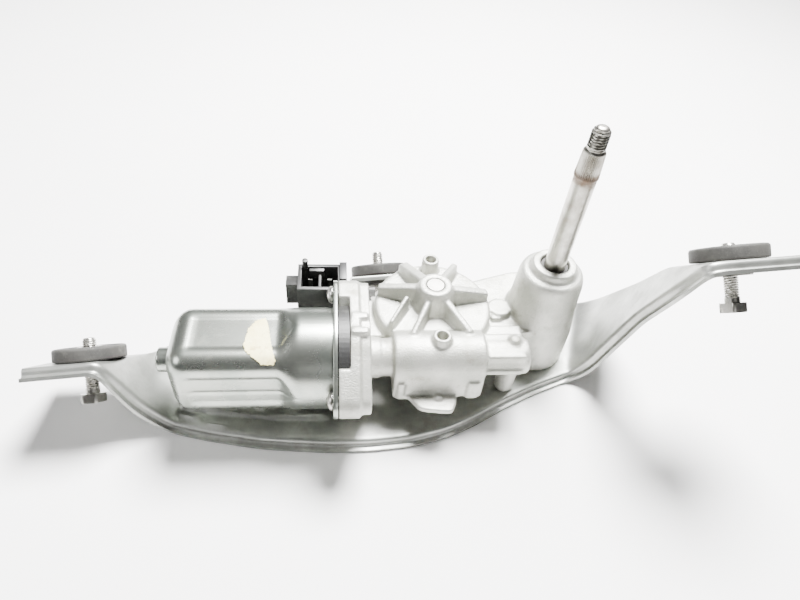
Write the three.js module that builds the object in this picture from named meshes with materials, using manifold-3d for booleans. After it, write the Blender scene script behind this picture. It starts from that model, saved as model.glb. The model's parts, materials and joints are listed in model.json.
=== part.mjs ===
// Rear windscreen wiper motor: bracket on three rubber mounts, brushed DC motor, worm gearbox
// with a sector-and-link drive, and the output shaft. Millimetres, +Z up along the output shaft,
// +X along the motor from its closed end to the gearbox, origin on the worm wheel's axis until
// the last lines set the whole on its base.
import * as THREE from 'three';
import { mergeVertices } from 'three/addons/utils/BufferGeometryUtils.js';
import Module from 'manifold-3d';

const wasm = await Module();
wasm.setup();

// Driving dimensions
const gap = 0.3; // between separate pieces
const past = 1; // how far a cutting tool runs past the face it cuts
const bearingFit = 0.15; // round a turning shaft
const pivotHead = 3.6; // heads on the drive's pins
const pivotHeadHeight = 0.8;
const sheet = 1.6; // bracket steel
const plateTop = -30; // top face of the bracket's middle
const hemDrop = 4; // step of the bracket's edge
const hemFlange = 2.4; // lip outside the step
const padHalf = 18; // half width of a mounting pad
const boltLean = new THREE.Vector3(-0.0795, 0.7185, 0.69).normalize(); // mounting bolts

const rubberRadius = 15.2; // grommets
const rubberTop = 6.2;
const rubberWaist = 9;
const rubberBottom = 3; // lower lip
const lowerLip = 12.6;
const sleeveRadius = 5.2;
const boltRadius = 3; // M6
const boltLength = 25;
const boltHeadFlats = 10;
const boltHeadHeight = 4;

const wheelTeeth = 44;
const wormModule = 1;
const wormPitchRadius = 5;
const wheelWidth = 8;
const wheelShaftRadius = 4;
const wormHalf = 15; // half length of the thread
const wheelPitchRadius = (wheelTeeth * wormModule) / 2;
const motorY = -(wheelPitchRadius + wormPitchRadius); // the motor axis

const leftPad = new THREE.Vector3(-156.5, -21.3, -7.1); // pad centres on the steel's top
const outputX = 57; // output shaft axis
const outputY = 5;
const shaftRadius = 5;
const shaftPlainTop = 79;
const knurlTop = 91.4;
const threadTop = 102;
const mouthZ = 30; // top of the output tower
const linkModule = 1.25;
const pinionTeeth = 10;
const sectorTeeth = 20;
const linkPark = 68; // link angle from the gearbox's centre line, parked
const linkSwing = 44; // how far the link swings
const leverThickness = 4;
const leverTop = -5.5;

const caseRadius = 28.5; // wheel case
const rightPad = new THREE.Vector3(outputX + 58.9, -25.6, 59.1);
const rearPad = new THREE.Vector3(-22.5, caseRadius + 17.1, -17.3);
const caseWall = 3.5;
const caseBottom = -16;
const bossTop = 20.6;
const yokeHalf = 18; // half side of the motor's square part
const yokeCorner = 9;
const yokeRound = 22.8; // radius of the motor's round part
const yokeWall = 1.6;
const yokeBack = -118;
const yokeRearRound = 7; // rounding of the motor's closed end
const yokeShoulder = -66;
const yokeFront = -46;
const motorFlange = 2; // steel flange
const housingFlangeBack = -32; // gearbox side of the aluminium flange
const flangeStep = -37; // where it grows thicker towards the motor
const brushPlate = 4.6;
const armatureShaftRadius = 3;
const armatureRadius = 11.5;
const armatureBack = -109;
const armatureFront = -74;
const connectorFront = -44;
const screwA = [22.5, 18]; // yoke screws, Y and Z from the motor axis
const screwB = [-26.5, 4];

// Worked out from the values above
const coverThickness = 1.8;
const coverTop = caseBottom - gap;
const caseInner = caseRadius - caseWall;
const sectorPitch = (sectorTeeth * linkModule) / 2;
const pinionPitch = (pinionTeeth * linkModule) / 2;
const linkLength = sectorPitch + pinionPitch;
const centreDistance = Math.hypot(outputX, outputY);
const centreLine = Math.atan2(outputY, outputX);
const rad = THREE.MathUtils.degToRad;
const reach = (angle) => Math.hypot(centreDistance + linkLength * Math.cos(rad(angle)),
  linkLength * Math.sin(rad(angle)));
const farReach = reach(linkPark);
const nearReach = reach(linkPark + linkSwing);
const crankRadius = (farReach - nearReach) / 2;
const pivotAt = (angle) => new THREE.Vector2(
  outputX + linkLength * Math.cos(centreLine + rad(angle)),
  outputY + linkLength * Math.sin(centreLine + rad(angle)));
const pivotParked = pivotAt(linkPark);
const pivotSwung = pivotAt(linkPark + linkSwing);
const leverAngle = Math.atan2(pivotParked.y, pivotParked.x);
const crankPin = new THREE.Vector2(crankRadius, 0).rotateAround(new THREE.Vector2(), leverAngle);

// Turning shapes into solids -------------------------------------------------

function solid(geometry) {
  const bare = (geometry.index ? geometry : geometry.clone()).clone();
  bare.deleteAttribute('normal');
  bare.deleteAttribute('uv');
  const merged = mergeVertices(bare, 1e-4);
  const position = merged.attributes.position;
  const index = Uint32Array.from(merged.index.array);
  const a = new THREE.Vector3();
  const b = new THREE.Vector3();
  const c = new THREE.Vector3();
  let volume = 0;
  for (let i = 0; i < index.length; i += 3) {
    a.fromBufferAttribute(position, index[i]);
    b.fromBufferAttribute(position, index[i + 1]);
    c.fromBufferAttribute(position, index[i + 2]);
    volume += a.dot(b.cross(c));
  }
  if (volume < 0) index.reverse(); // faces out
  return new wasm.Manifold(new wasm.Mesh({
    numProp: 3,
    vertProperties: Float32Array.from(position.array),
    triVerts: index,
  }));
}

const joined = (...solids) => solids.reduce((all, one) => all.add(one));

function cut(base, ...tools) {
  return tools.reduce((left, tool) => left.subtract(tool), base);
}

function placed(geometry, x, y, z) {
  return geometry.translate(x, y, z);
}

// a turned shape about +Z from [radius, z] pairs
function turned(profile, segments = 20) {
  const points = profile.map(([r, z]) => new THREE.Vector2(r, z));
  return new THREE.LatheGeometry(points, segments).rotateX(Math.PI / 2);
}

function rod(radius, bottom, top, segments = 20) {
  return turned([[0, bottom], [radius, bottom], [radius, top], [0, top]], segments);
}

function ring(outer, inner, bottom, top, segments = 20) {
  return turned([[inner, bottom], [outer, bottom], [outer, top], [inner, top], [inner, bottom]],
    segments);
}

// +Z shapes laid along +X, their own +X becoming +Y
const layAlongX = new THREE.Matrix4().makeBasis(
  new THREE.Vector3(0, 1, 0), new THREE.Vector3(0, 0, 1), new THREE.Vector3(1, 0, 0));
const alongX = (geometry, y = motorY, z = 0) => geometry.applyMatrix4(layAlongX).translate(0, y, z);

function box(x0, x1, y0, y1, z0, z1) {
  const geometry = new THREE.BoxGeometry(x1 - x0, y1 - y0, z1 - z0);
  return geometry.translate((x0 + x1) / 2, (y0 + y1) / 2, (z0 + z1) / 2);
}

function slab(points, bottom, top) {
  const shape = new THREE.Shape(points.map(([x, y]) => new THREE.Vector2(x, y)));
  return prism(shape, bottom, top);
}

function prism(shape, bottom, top, curveSegments = 8) {
  const geometry = new THREE.ExtrudeGeometry(shape,
    { depth: top - bottom, bevelEnabled: false, curveSegments });
  return geometry.translate(0, 0, bottom);
}

// a slice of a disc, between two angles
function wedge(radius, from, to, bottom, top) {
  const shape = new THREE.Shape();
  shape.moveTo(0, 0);
  shape.lineTo(radius * Math.cos(from), radius * Math.sin(from));
  shape.absarc(0, 0, radius, from, to, false);
  return prism(shape, bottom, top, 8);
}

// the outline of a belt round a set of circles [x, y, radius]
function beltOutline(circles, steps = 24) {
  const cloud = [];
  for (const [x, y, r] of circles) {
    for (let i = 0; i < steps; i++) {
      const angle = (i / steps) * 2 * Math.PI;
      cloud.push([x + r * Math.cos(angle), y + r * Math.sin(angle)]);
    }
  }
  cloud.sort((p, q) => p[0] - q[0] || p[1] - q[1]);
  const turn = (o, p, q) => (p[0] - o[0]) * (q[1] - o[1]) - (p[1] - o[1]) * (q[0] - o[0]);
  const half = (points) => {
    const side = [];
    for (const point of points) {
      while (side.length > 1 && turn(side.at(-2), side.at(-1), point) <= 1e-9) side.pop();
      side.push(point);
    }
    side.pop();
    return side;
  };
  return [...half(cloud), ...half(cloud.slice().reverse())];
}

const belt = (circles, bottom, top, steps) => slab(beltOutline(circles, steps), bottom, top);

function hexagon(flats, bottom, top) {
  const geometry = new THREE.CylinderGeometry(flats / Math.sqrt(3), flats / Math.sqrt(3),
    top - bottom, 6);
  return geometry.rotateX(Math.PI / 2).translate(0, 0, (bottom + top) / 2);
}

// stands a +Z shape on a mounting pad, along its bolt
function onPad(geometry, pad) {
  const lean = new THREE.Quaternion().setFromUnitVectors(new THREE.Vector3(0, 0, 1), boltLean);
  return geometry.applyQuaternion(lean).translate(pad.x, pad.y, pad.z);
}

// Nodes ----------------------------------------------------------------------

const wiperMotor = new THREE.Group();

const finishes = {
  galvanised: { color: 0xb9bcbd, roughness: 0.42, metalness: 0.85 },
  castAluminium: { color: 0xc3c5c4, roughness: 0.5, metalness: 0.8 },
  brightSteel: { color: 0xb4b2ad, roughness: 0.3, metalness: 0.95 },
  rubber: { color: 0x35373a, roughness: 0.85, metalness: 0 },
  blackPlastic: { color: 0x1d1f20, roughness: 0.55, metalness: 0 },
  whitePlastic: { color: 0xe6e2d2, roughness: 0.5, metalness: 0 },
  copper: { color: 0xb87345, roughness: 0.35, metalness: 0.9 },
  magnet: { color: 0x3c3b3a, roughness: 0.7, metalness: 0.2 },
  bronze: { color: 0xa5763f, roughness: 0.5, metalness: 0.8 },
  carbon: { color: 0x2a2928, roughness: 0.8, metalness: 0.1 },
  paper: { color: 0xe8e0b0, roughness: 0.9, metalness: 0 },
};

function node(name, body, finish) {
  const mesh = body.getMesh();
  const geometry = new THREE.BufferGeometry();
  geometry.setAttribute('position', new THREE.BufferAttribute(Float32Array.from(mesh.vertProperties), 3));
  geometry.setIndex(new THREE.BufferAttribute(Uint32Array.from(mesh.triVerts), 1));
  geometry.computeVertexNormals();
  const part = new THREE.Mesh(geometry, new THREE.MeshStandardMaterial(finishes[finish]));
  part.name = name;
  wiperMotor.add(part);
}

// Bracket --------------------------------------------------------------------

const padBack = new THREE.Vector3().crossVectors(boltLean, new THREE.Vector3(1, 0, 0)).normalize();
const padAlong = new THREE.Vector3().crossVectors(padBack, boltLean);
const onPadPlane = (pad, along, back) => pad.clone()
  .addScaledVector(padAlong, along).addScaledVector(padBack, back);
const up = new THREE.Vector3(0, 0, 1);
const station = (front, back, normal) => ({ front, back, normal });
const padStation = (pad, alongFront, alongBack = alongFront, half = padHalf) => station(
  onPadPlane(pad, alongFront, -half), onPadPlane(pad, alongBack, half), boltLean);
const flatStation = (x0, y0, x1, y1) => station(
  new THREE.Vector3(x0, y0, plateTop), new THREE.Vector3(x1, y1, plateTop), up);

// front and back edge, from the left tip to the right tip
const rampDown = new THREE.Vector3(0.75, 0.3, 0.6).normalize();
const rampUp = new THREE.Vector3(-0.93, 0.28, 0.25).normalize();
const bracketStations = [
  padStation(leftPad, -21), padStation(leftPad, -8), padStation(leftPad, 3, 8),
  padStation(leftPad, 9.5, 20),
  station(new THREE.Vector3(-133, -37.6, -18), new THREE.Vector3(-134.5, 2, -27), rampDown),
  flatStation(-122, -40.5, -122, 14), flatStation(-105, -45, -106, 24),
  flatStation(-80, -50, -82, 28), flatStation(-49.5, -52.8, -54, 27),
  flatStation(-30, -52.6, -38, 17), flatStation(-12, -51, -14, 15), flatStation(5, -47, 4, 17),
  flatStation(20, -40.5, 20, 29), flatStation(36, -31.5, 34, 36),
  flatStation(outputX - 2, -22.5, outputX + 5, 38), flatStation(outputX + 19, -14.5, outputX + 37, 37),
  station(new THREE.Vector3(outputX + 25, -14.5, -20), new THREE.Vector3(outputX + 45, 31, -20), rampUp),
  station(new THREE.Vector3(outputX + 30.5, -24, 25), new THREE.Vector3(outputX + 46.5, 6, 17), rampUp),
  padStation(rightPad, -21, -17), padStation(rightPad, -8), padStation(rightPad, 23),
];
const rearHalf = 15.5;
const rearStations = [
  padStation(rearPad, -16, -16, rearHalf), padStation(rearPad, 0, 0, rearHalf),
  padStation(rearPad, 17, 17, rearHalf),
  station(new THREE.Vector3(16, 30, -26), new THREE.Vector3(20, 48, -29.6),
    up.clone().lerp(boltLean, 0.4).normalize()),
  flatStation(34, 14, 38, 33),
];

// a pressed strip between two edges: sheet, step and lip in front, step behind
function pressedStrip(stations, drop, lip) {
  const far = 100; // stands for the back edge in the section's drawing
  const section = [[0, 0], [0, -drop]];
  if (lip > 0) section.push([-lip, -drop], [-lip, -drop - sheet]);
  else section.push([0, -drop - sheet]);
  section.push([sheet, -drop - sheet], [sheet, -sheet], [far - sheet, -sheet],
    [far - sheet, -drop - sheet], [far, -drop - sheet], [far, 0]);
  const shape = new THREE.Shape(section.map(([u, v]) => new THREE.Vector2(u, v)));
  const steps = stations.length - 1;
  const geometry = new THREE.ExtrudeGeometry(shape, { depth: steps, steps, bevelEnabled: false });
  const position = geometry.attributes.position;
  for (let i = 0; i < position.count; i++) {
    const { front, back, normal } = stations[Math.round(position.getZ(i))];
    const across = back.clone().sub(front);
    const width = across.length();
    across.normalize();
    const upright = normal.clone().addScaledVector(across, -normal.dot(across)).normalize();
    const u = position.getX(i);
    const point = front.clone().addScaledVector(across, u > far / 2 ? u - far + width : u)
      .addScaledVector(upright, position.getY(i));
    position.setXYZ(i, point.x, point.y, point.z);
  }
  return geometry;
}

const footPoints = [[38, motorY + 5], [outputX + 19, outputY + 11], [housingFlangeBack - 1.5, 9]];
const footRadius = 4.6;
const footBore = 2.2;
const bracketScrewHole = 2.6;
const bracketScrewShank = 1.9;
const bracketScrewReach = 10; // how far the screw goes into its foot

function bracket() {
  const pressing = solid(pressedStrip(bracketStations, hemDrop, hemFlange)).add(
    solid(pressedStrip(rearStations, 1.2, 0)));
  const below = plateTop - 10;
  const above = plateTop + 5;
  const rubberHoles = [leftPad, rightPad, rearPad].map(
    (pad) => solid(onPad(rod(rubberWaist + gap, -rubberWaist, rubberWaist), pad)));
  const screwHoles = footPoints.map(([x, y]) => solid(
    placed(rod(bracketScrewHole, below, above, 12), x, y, 0)));
  return cut(pressing, ...rubberHoles, ...screwHoles);
}
node('mounting_bracket', bracket(), 'galvanised');

// Rubber mounts --------------------------------------------------------------

const stackBottom = -sheet - gap - rubberBottom; // grommet's lowest face, from the steel's top
const washerThickness = 1;
const headBelow = { left: 14.8, right: 17.3, rear: 11.5 }; // bolt head's upper face, from the steel

function grommet(pad) {
  return solid(onPad(turned([
    [sleeveRadius + gap, stackBottom], [lowerLip, stackBottom], [lowerLip, -sheet - gap],
    [rubberWaist, -sheet - gap], [rubberWaist, gap], [rubberRadius, gap],
    [rubberRadius, rubberTop - 0.8], [rubberRadius - 0.8, rubberTop],
    [sleeveRadius + gap, rubberTop], [sleeveRadius + gap, stackBottom]], 20), pad));
}

function sleeve(pad) {
  const bore = boltRadius + gap;
  const washerTop = stackBottom - gap;
  return solid(onPad(turned([
    [bore, washerTop - washerThickness], [8.5, washerTop - washerThickness], [8.5, washerTop],
    [sleeveRadius, washerTop], [sleeveRadius, rubberTop], [bore, rubberTop],
    [bore, washerTop - washerThickness]], 16), pad));
}

function mountBolt(pad, below) {
  const shank = turned([[0, -below - 0.5], [boltRadius, -below - 0.5],
    [boltRadius, boltLength - below - 1], [boltRadius - 1, boltLength - below],
    [0, boltLength - below]], 12);
  return solid(onPad(shank, pad)).add(
    solid(onPad(hexagon(boltHeadFlats, -below - boltHeadHeight, -below), pad)));
}

for (const [side, pad] of [['left', leftPad], ['right', rightPad], ['rear', rearPad]]) {
  node(`grommet_${side}`, grommet(pad), 'rubber');
  node(`sleeve_${side}`, sleeve(pad), 'brightSteel');
  node(`mount_bolt_${side}`, mountBolt(pad, headBelow[side]), 'brightSteel');
}

// Motor case -----------------------------------------------------------------

function roundedSquare(half, corner) {
  const shape = new THREE.Shape();
  const inner = half - corner;
  shape.absarc(inner, inner, corner, 0, Math.PI / 2);
  shape.absarc(-inner, inner, corner, Math.PI / 2, Math.PI);
  shape.absarc(-inner, -inner, corner, Math.PI, 1.5 * Math.PI);
  shape.absarc(inner, -inner, corner, 1.5 * Math.PI, 2 * Math.PI);
  return shape;
}

// square part with rounded ends, between two places on the motor axis
function squareBarrel(half, back, front, round) {
  const geometry = new THREE.ExtrudeGeometry(roundedSquare(half - round, yokeCorner - round), {
    depth: front - back - 2 * round, bevelThickness: round, bevelSize: round, bevelSegments: 2,
    curveSegments: 4,
  });
  return alongX(geometry.translate(0, 0, back + round));
}

function roundBarrel(radius, back, front, round) {
  return alongX(turned([[0, back], [radius - round, back], [radius - 0.3 * round, back + 0.3 * round],
    [radius, back + round], [radius, front], [0, front]], 32));
}

// the two-eared outline shared by the flanges, in Y and Z from the motor axis
const flangeRadius = yokeRound + 1.9;
function flangeOutline(grow = 0) {
  return [
    [[0, 0, flangeRadius + grow], [screwA[0], screwA[1], 6.5 + grow]],
    [[0, 0, flangeRadius + grow], [screwB[0], screwB[1], 7.5 + grow]],
  ];
}
function flangePlate(back, front, grow = 0) {
  const [upper, lower] = flangeOutline(grow);
  return solid(alongX(belt(upper, back, front, 18))).add(
    solid(alongX(belt(lower, back, front, 18))));
}
const screwBore = (radius, back, front) => [screwA, screwB].map(
  ([y, z]) => solid(alongX(rod(radius, back, front, 16), motorY + y, z)));

const bossRadius = 5.5;
const lugRadius = 4.5; // round lug under the motor
const lugDrop = 2.6;
const lugX = -80.7;
const lugY = -37.2;
const bossBack = -125.2;
function motorYoke() {
  const outside = joined(
    solid(squareBarrel(yokeHalf, yokeBack, yokeShoulder + 8, yokeRearRound)),
    solid(roundBarrel(yokeRound, yokeShoulder, yokeFront - motorFlange + 1, 4)),
    solid(placed(rod(lugRadius, -yokeHalf - lugDrop, -yokeHalf + yokeWall / 2, 16), lugX, lugY, 0)),
    flangePlate(yokeFront - motorFlange, yokeFront),
    solid(alongX(rod(bossRadius, bossBack, yokeBack + 3, 20))));
  return cut(outside,
    solid(squareBarrel(yokeHalf - yokeWall, yokeBack + yokeWall, yokeShoulder + 12,
      yokeRearRound - yokeWall)),
    solid(roundBarrel(yokeRound - yokeWall, yokeShoulder + yokeWall, yokeFront + 1, 2.4)),
    solid(alongX(rod(bossRadius - yokeWall, bossBack + yokeWall, yokeBack + 4, 20))),
    ...screwBore(2.4, yokeFront - motorFlange - 1, yokeFront + 1));
}
node('motor_yoke', motorYoke(), 'galvanised');

function yokeScrew([y, z]) {
  const headBack = yokeFront - motorFlange - gap;
  const profile = [[0, headBack - 2.6], [2.6, headBack - 2.4], [4, headBack - 1], [4, headBack],
    [2.1, headBack], [2.1, housingFlangeBack - 1], [0, housingFlangeBack - 1]];
  return solid(alongX(turned(profile, 16), motorY + y, z));
}
node('yoke_screw_upper', yokeScrew(screwA), 'brightSteel');
node('yoke_screw_lower', yokeScrew(screwB), 'brightSteel');

// a torn patch of paper lying on the yoke's upper front corner
function paperLabel() {
  const lift = 0.3;
  const skin = 0.4;
  const outer = solid(squareBarrel(yokeHalf + lift + skin, yokeBack, yokeShoulder + 8,
    yokeRearRound));
  const inner = solid(squareBarrel(yokeHalf + lift, yokeBack, yokeShoulder + 8, yokeRearRound));
  const outline = [[-87, -30], [-84, -36], [-83, -44], [-76, -46], [-72, -43.5], [-74, -34],
    [-75, -24], [-76.5, -15], [-80, -14], [-83, -22]];
  return outer.subtract(inner).intersect(solid(slab(outline, 5, 40)));
}
node('paper_label', paperLabel(), 'paper');

// Inside the motor -----------------------------------------------------------

const magnetOuter = yokeHalf - yokeWall - gap;
function magnet(side) {
  const shell = solid(squareBarrel(magnetOuter, armatureBack - 2, armatureFront + 2, 2.5)).subtract(
    solid(alongX(rod(armatureRadius + 0.8, armatureBack - 4, armatureFront + 4, 24))));
  const keep = solid(box(armatureBack - 5, armatureFront + 5, 7, 40, -40, 40));
  return shell.intersect(side > 0 ? keep.translate(0, motorY, 0)
    : keep.mirror([0, 1, 0]).translate(0, motorY, 0));
}
node('magnet_front', magnet(-1), 'magnet');
node('magnet_rear', magnet(1), 'magnet');

const slots = 8;
const slotWidth = 2.4;
const coilBase = 5;
function armatureCore() {
  const stack = solid(alongX(ring(armatureRadius, armatureShaftRadius + gap, armatureBack + 6,
    armatureFront - 6, 24)));
  const grooves = [];
  for (let i = 0; i < slots; i++) {
    const slot = box(armatureBack, armatureFront, coilBase, armatureRadius + 2,
      -slotWidth / 2, slotWidth / 2);
    grooves.push(solid(slot.rotateX((i / slots) * 2 * Math.PI).translate(0, motorY, 0)));
  }
  return cut(stack, ...grooves);
}
node('armature_core', armatureCore(), 'brightSteel');

function windings() {
  const endCoil = (back, front) => solid(alongX(turned([
    [coilBase, back], [9, back], [10.4, back + 1.4], [10.4, front], [coilBase, front],
    [coilBase, back]], 20)));
  const bars = [];
  for (let i = 0; i < slots; i++) {
    const bar = box(armatureBack + 2, armatureFront - 2, coilBase + gap, 9.6,
      -slotWidth / 2 + gap, slotWidth / 2 - gap);
    bars.push(solid(bar.rotateX((i / slots) * 2 * Math.PI).translate(0, motorY, 0)));
  }
  return joined(endCoil(armatureBack + 0.5, armatureBack + 6 - gap),
    endCoil(armatureFront - 6 + gap, armatureFront - 0.5), ...bars);
}
node('armature_windings', windings(), 'copper');

const commutatorRadius = 7;
const commutatorFront = -49.5;
const commutatorBack = -60;
function commutator() {
  const body = solid(alongX(ring(commutatorRadius, armatureShaftRadius + gap, commutatorBack,
    commutatorFront, 24)));
  const cuts = [];
  for (let i = 0; i < slots; i++) {
    const groove = box(commutatorBack + 2, commutatorFront + 1, commutatorRadius - 0.6,
      commutatorRadius + 1, -0.25, 0.25);
    cuts.push(solid(groove.rotateX(((i + 0.5) / slots) * 2 * Math.PI).translate(0, motorY, 0)));
  }
  return cut(body, ...cuts);
}
node('commutator', commutator(), 'copper');

// armature shaft with its worm: the thread is a wedge section swept round a helix
const wormTop = wormPitchRadius + wormModule;
const wormRoot = wormPitchRadius - 1.25 * wormModule;
const wormLead = Math.PI * wormModule;
const shaftBack = bossBack + yokeWall + 0.8;
const shaftFront = 38;
function wormThread() {
  const perTurn = 12;
  const steps = Math.round((2 * wormHalf - 4) / wormLead) * perTurn;
  const rootHalf = 0.86;
  const crestHalf = 0.3;
  const section = new THREE.Shape([
    new THREE.Vector2(wormRoot - 0.6, -rootHalf), new THREE.Vector2(wormTop, -crestHalf),
    new THREE.Vector2(wormTop, crestHalf), new THREE.Vector2(wormRoot - 0.6, rootHalf)]);
  const geometry = new THREE.ExtrudeGeometry(section, { depth: steps, steps, bevelEnabled: false });
  const position = geometry.attributes.position;
  for (let i = 0; i < position.count; i++) {
    const turn = ((Math.round(position.getZ(i)) - steps / 2) / perTurn) * 2 * Math.PI;
    const radius = position.getX(i);
    const x = (turn / (2 * Math.PI)) * wormLead + position.getY(i);
    position.setXYZ(i, x, radius * Math.cos(turn) + motorY, radius * Math.sin(turn));
  }
  return solid(geometry);
}
function armatureShaft() {
  const profile = [[0, shaftBack], [armatureShaftRadius, shaftBack],
    [armatureShaftRadius, -wormHalf - 2], [wormRoot, -wormHalf], [wormRoot, wormHalf],
    [armatureShaftRadius, wormHalf + 2], [armatureShaftRadius, shaftFront - 1],
    [armatureShaftRadius - 1, shaftFront], [0, shaftFront]];
  return solid(alongX(turned(profile, 24))).add(wormThread());
}
node('armature_shaft', armatureShaft(), 'brightSteel');

function shaftBush(outer, back, front) {
  return solid(alongX(ring(outer, armatureShaftRadius + bearingFit, back, front, 24)));
}
node('rear_bush', solid(alongX(ring(bossRadius - yokeWall - gap, armatureShaftRadius + 0.1,
  bossBack + yokeWall + gap, yokeBack, 24))), 'bronze');
node('front_bearing', shaftBush(6, -31, -26), 'brightSteel');
node('tail_bush', shaftBush(5, 30, shaftFront - 1), 'bronze');

const brushHalf = 2.2;
const brushOuter = commutatorRadius + 9;
function brush(side) {
  return solid(box(commutatorBack + 2.5, commutatorFront - 3, commutatorRadius + 0.2,
    brushOuter - 2.5, -brushHalf, brushHalf).rotateX(side > 0 ? 0 : Math.PI)
    .translate(0, motorY, 0));
}
node('brush_front', brush(-1), 'carbon');
node('brush_rear', brush(1), 'carbon');

const brushCentre = (commutatorBack + commutatorFront - 0.5) / 2;
function brushSpring(side) {
  const turns = 3;
  const coil = 1.5;
  const inner = brushOuter - 2.5 + 0.2 + 0.3;
  const length = 3.2;
  class Helix extends THREE.Curve {
    getPoint(t, target = new THREE.Vector3()) {
      const angle = t * turns * 2 * Math.PI;
      return target.set(brushCentre + coil * Math.cos(angle), side * (inner + length * t) + motorY,
        coil * Math.sin(angle));
    }
  }
  const wire = new THREE.Shape().absarc(0, 0, 0.3, 0, 2 * Math.PI);
  return solid(new THREE.ExtrudeGeometry(wire,
    { steps: 24, extrudePath: new Helix(), curveSegments: 2 }));
}
node('brush_spring_front', brushSpring(-1), 'brightSteel');
node('brush_spring_rear', brushSpring(1), 'brightSteel');

// the plate shows between the flange's ears, so it reaches the outline there
const plateBack = yokeFront + gap;
const plateFront = plateBack + brushPlate;
const rimInner = yokeRound - yokeWall - 0.6;
const windowStart = rad(58);
const windowEnd = rad(140);
function windowWedge(radius, back, front, inset) {
  return solid(alongX(wedge(radius, windowStart + inset, windowEnd - inset, back, front)));
}
function brushHolder() {
  const plate = solid(alongX(rod(rimInner - gap, plateBack, plateFront, 28))).add(
    windowWedge(flangeRadius - 0.4, plateBack, plateFront, 0.02));
  const cages = [-1, 1].map((side) => {
    const cage = solid(box(commutatorBack + 1.2, plateBack + 1, commutatorRadius + 1.2,
      brushOuter + 3, -brushHalf - 1.5, brushHalf + 1.5).rotateX(side > 0 ? 0 : Math.PI)
      .translate(0, motorY, 0));
    const way = solid(box(commutatorBack + 2.2, commutatorFront - 2.7, commutatorRadius,
      brushOuter + 1.4, -brushHalf - gap, brushHalf + gap).rotateX(side > 0 ? 0 : Math.PI)
      .translate(0, motorY, 0));
    return cage.subtract(way);
  });
  return cut(joined(plate, ...cages),
    solid(alongX(rod(commutatorRadius + 1, commutatorBack, plateBack + 2, 32))),
    solid(alongX(rod(armatureShaftRadius + 1.2, plateBack, plateFront + 1, 24))));
}
node('brush_holder', brushHolder(), 'blackPlastic');

// Connector ------------------------------------------------------------------

const plug = {
  back: connectorFront - 21, front: connectorFront, near: motorY + 29, far: motorY + 46.5,
  bottom: -4, top: 15,
};
const plugWall = 1.8;
const cellMiddles = [5.8, 15.2]; // terminal cells, from the socket's back
const bladeRows = [5.5, 12]; // terminal rows, from its near side
const bladeWidth = 2;
const bladeThickness = 0.8;
const bladeGap = 1.1; // round a blade where it passes the floor
const bladeBelowTop = 5;

function connectorShell() {
  const { back, front, near, far, bottom, top } = plug;
  const shell = solid(box(back, front, near, far, bottom, top));
  const mouth = solid(box(back + plugWall, front - plugWall, near + plugWall, far - plugWall,
    bottom + plugWall, top + 1));
  const middle = back + (cellMiddles[0] + cellMiddles[1]) / 2;
  const divider = solid(box(middle - plugWall / 3, middle + plugWall / 3, near + 1, far - 1,
    bottom + 1, top - 3));
  const foot = solid(box(front - 1, front + 4, near + 2, near + 12, bottom + 4, bottom + 12));
  const latch = solid(box(back - 5.5, back + 1, near + 4.5, near + 11, bottom + 5, top - 1.5));
  const rearPost = solid(placed(rod(1.4, top - 1, top + 4, 12), back + 3.4, far - 1.4, 0));
  const sideRib = solid(box(front - 1, front + 2.5, near + 5.7, far, bottom + 6, top + 1.5));
  const ledge = solid(box(middle - 5, middle + 2, far - plugWall - 2, far - 1, top - 6, top - 1));
  const holes = bladeRows.flatMap((y) => cellMiddles.map((x) => solid(
    box(back + x - bladeWidth / 2 - bladeGap, back + x + bladeWidth / 2 + bladeGap,
      near + y - bladeGap, near + y + bladeGap, bottom - 1, bottom + 3))));
  return cut(joined(shell.subtract(mouth), divider, foot, latch, rearPost, sideRib, ledge),
    ...holes);
}
node('connector_shell', connectorShell(), 'blackPlastic');

bladeRows.flatMap((y) => cellMiddles.map((x) => [x, y])).forEach(([x, y], i) => {
  const centreX = plug.back + x;
  const centreY = plug.near + y;
  node(`terminal_blade_${i + 1}`, solid(box(centreX - bladeWidth / 2, centreX + bladeWidth / 2,
    centreY - bladeThickness / 2, centreY + bladeThickness / 2, plug.bottom - 0.5,
    plug.top - bladeBelowTop)), 'copper');
});

// Gear housing ---------------------------------------------------------------

const tunnelHalf = 21;
const tunnelRadius = 11.8;
const tunnelBottom = -15;
const towerFoot = 18.5;
const caseTop = 9.5;
const linkCaseTop = -1;
const linkRoof = -3.5;
const postRadius = 4.25;
const postHole = 2.6;
const posts = [[1, 24, 15], [0.6, motorY, 15.2]];
const sectorReach = [outputX + 8, outputY + 9]; // where the sector's teeth swing out
const linkCaseCircles = [[0, 0, 16], [outputX, outputY, 15.5], [...sectorReach, 12],
  [pivotParked.x, pivotParked.y, 10.5], [pivotSwung.x, pivotSwung.y, 10.5]];
const linkRoomCircles = [[0, 0, 12], [outputX, outputY, 12], [...sectorReach, 9],
  [pivotParked.x, pivotParked.y, 7.4], [pivotSwung.x, pivotSwung.y, 7.4]];

// ribs standing on the dome: inner and outer radius and angle of the middle line, and width
const ribs = [[0, 163.5, 27.5, 163.5, 4.2], [0, 118.6, 27.5, 118.6, 5.2], [0, 59.9, 27.5, 59.9, 3.6],
  [0, 8, 27.5, 8, 4.4], [13.6, -167.7, 27.5, -143.1, 2.2], [0, -117.5, 26.5, -117.5, 2.8],
  [0, -56.4, 27, -56.4, 3.4]];
const ribFoot = 7.5; // height of the dome between them
const ribLean = 0.35; // how much wider a rib is at its foot, each side
const hubRadius = 8.6;
const domeShoulder = 12.4;
const hubRoot = 17.4;

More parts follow.
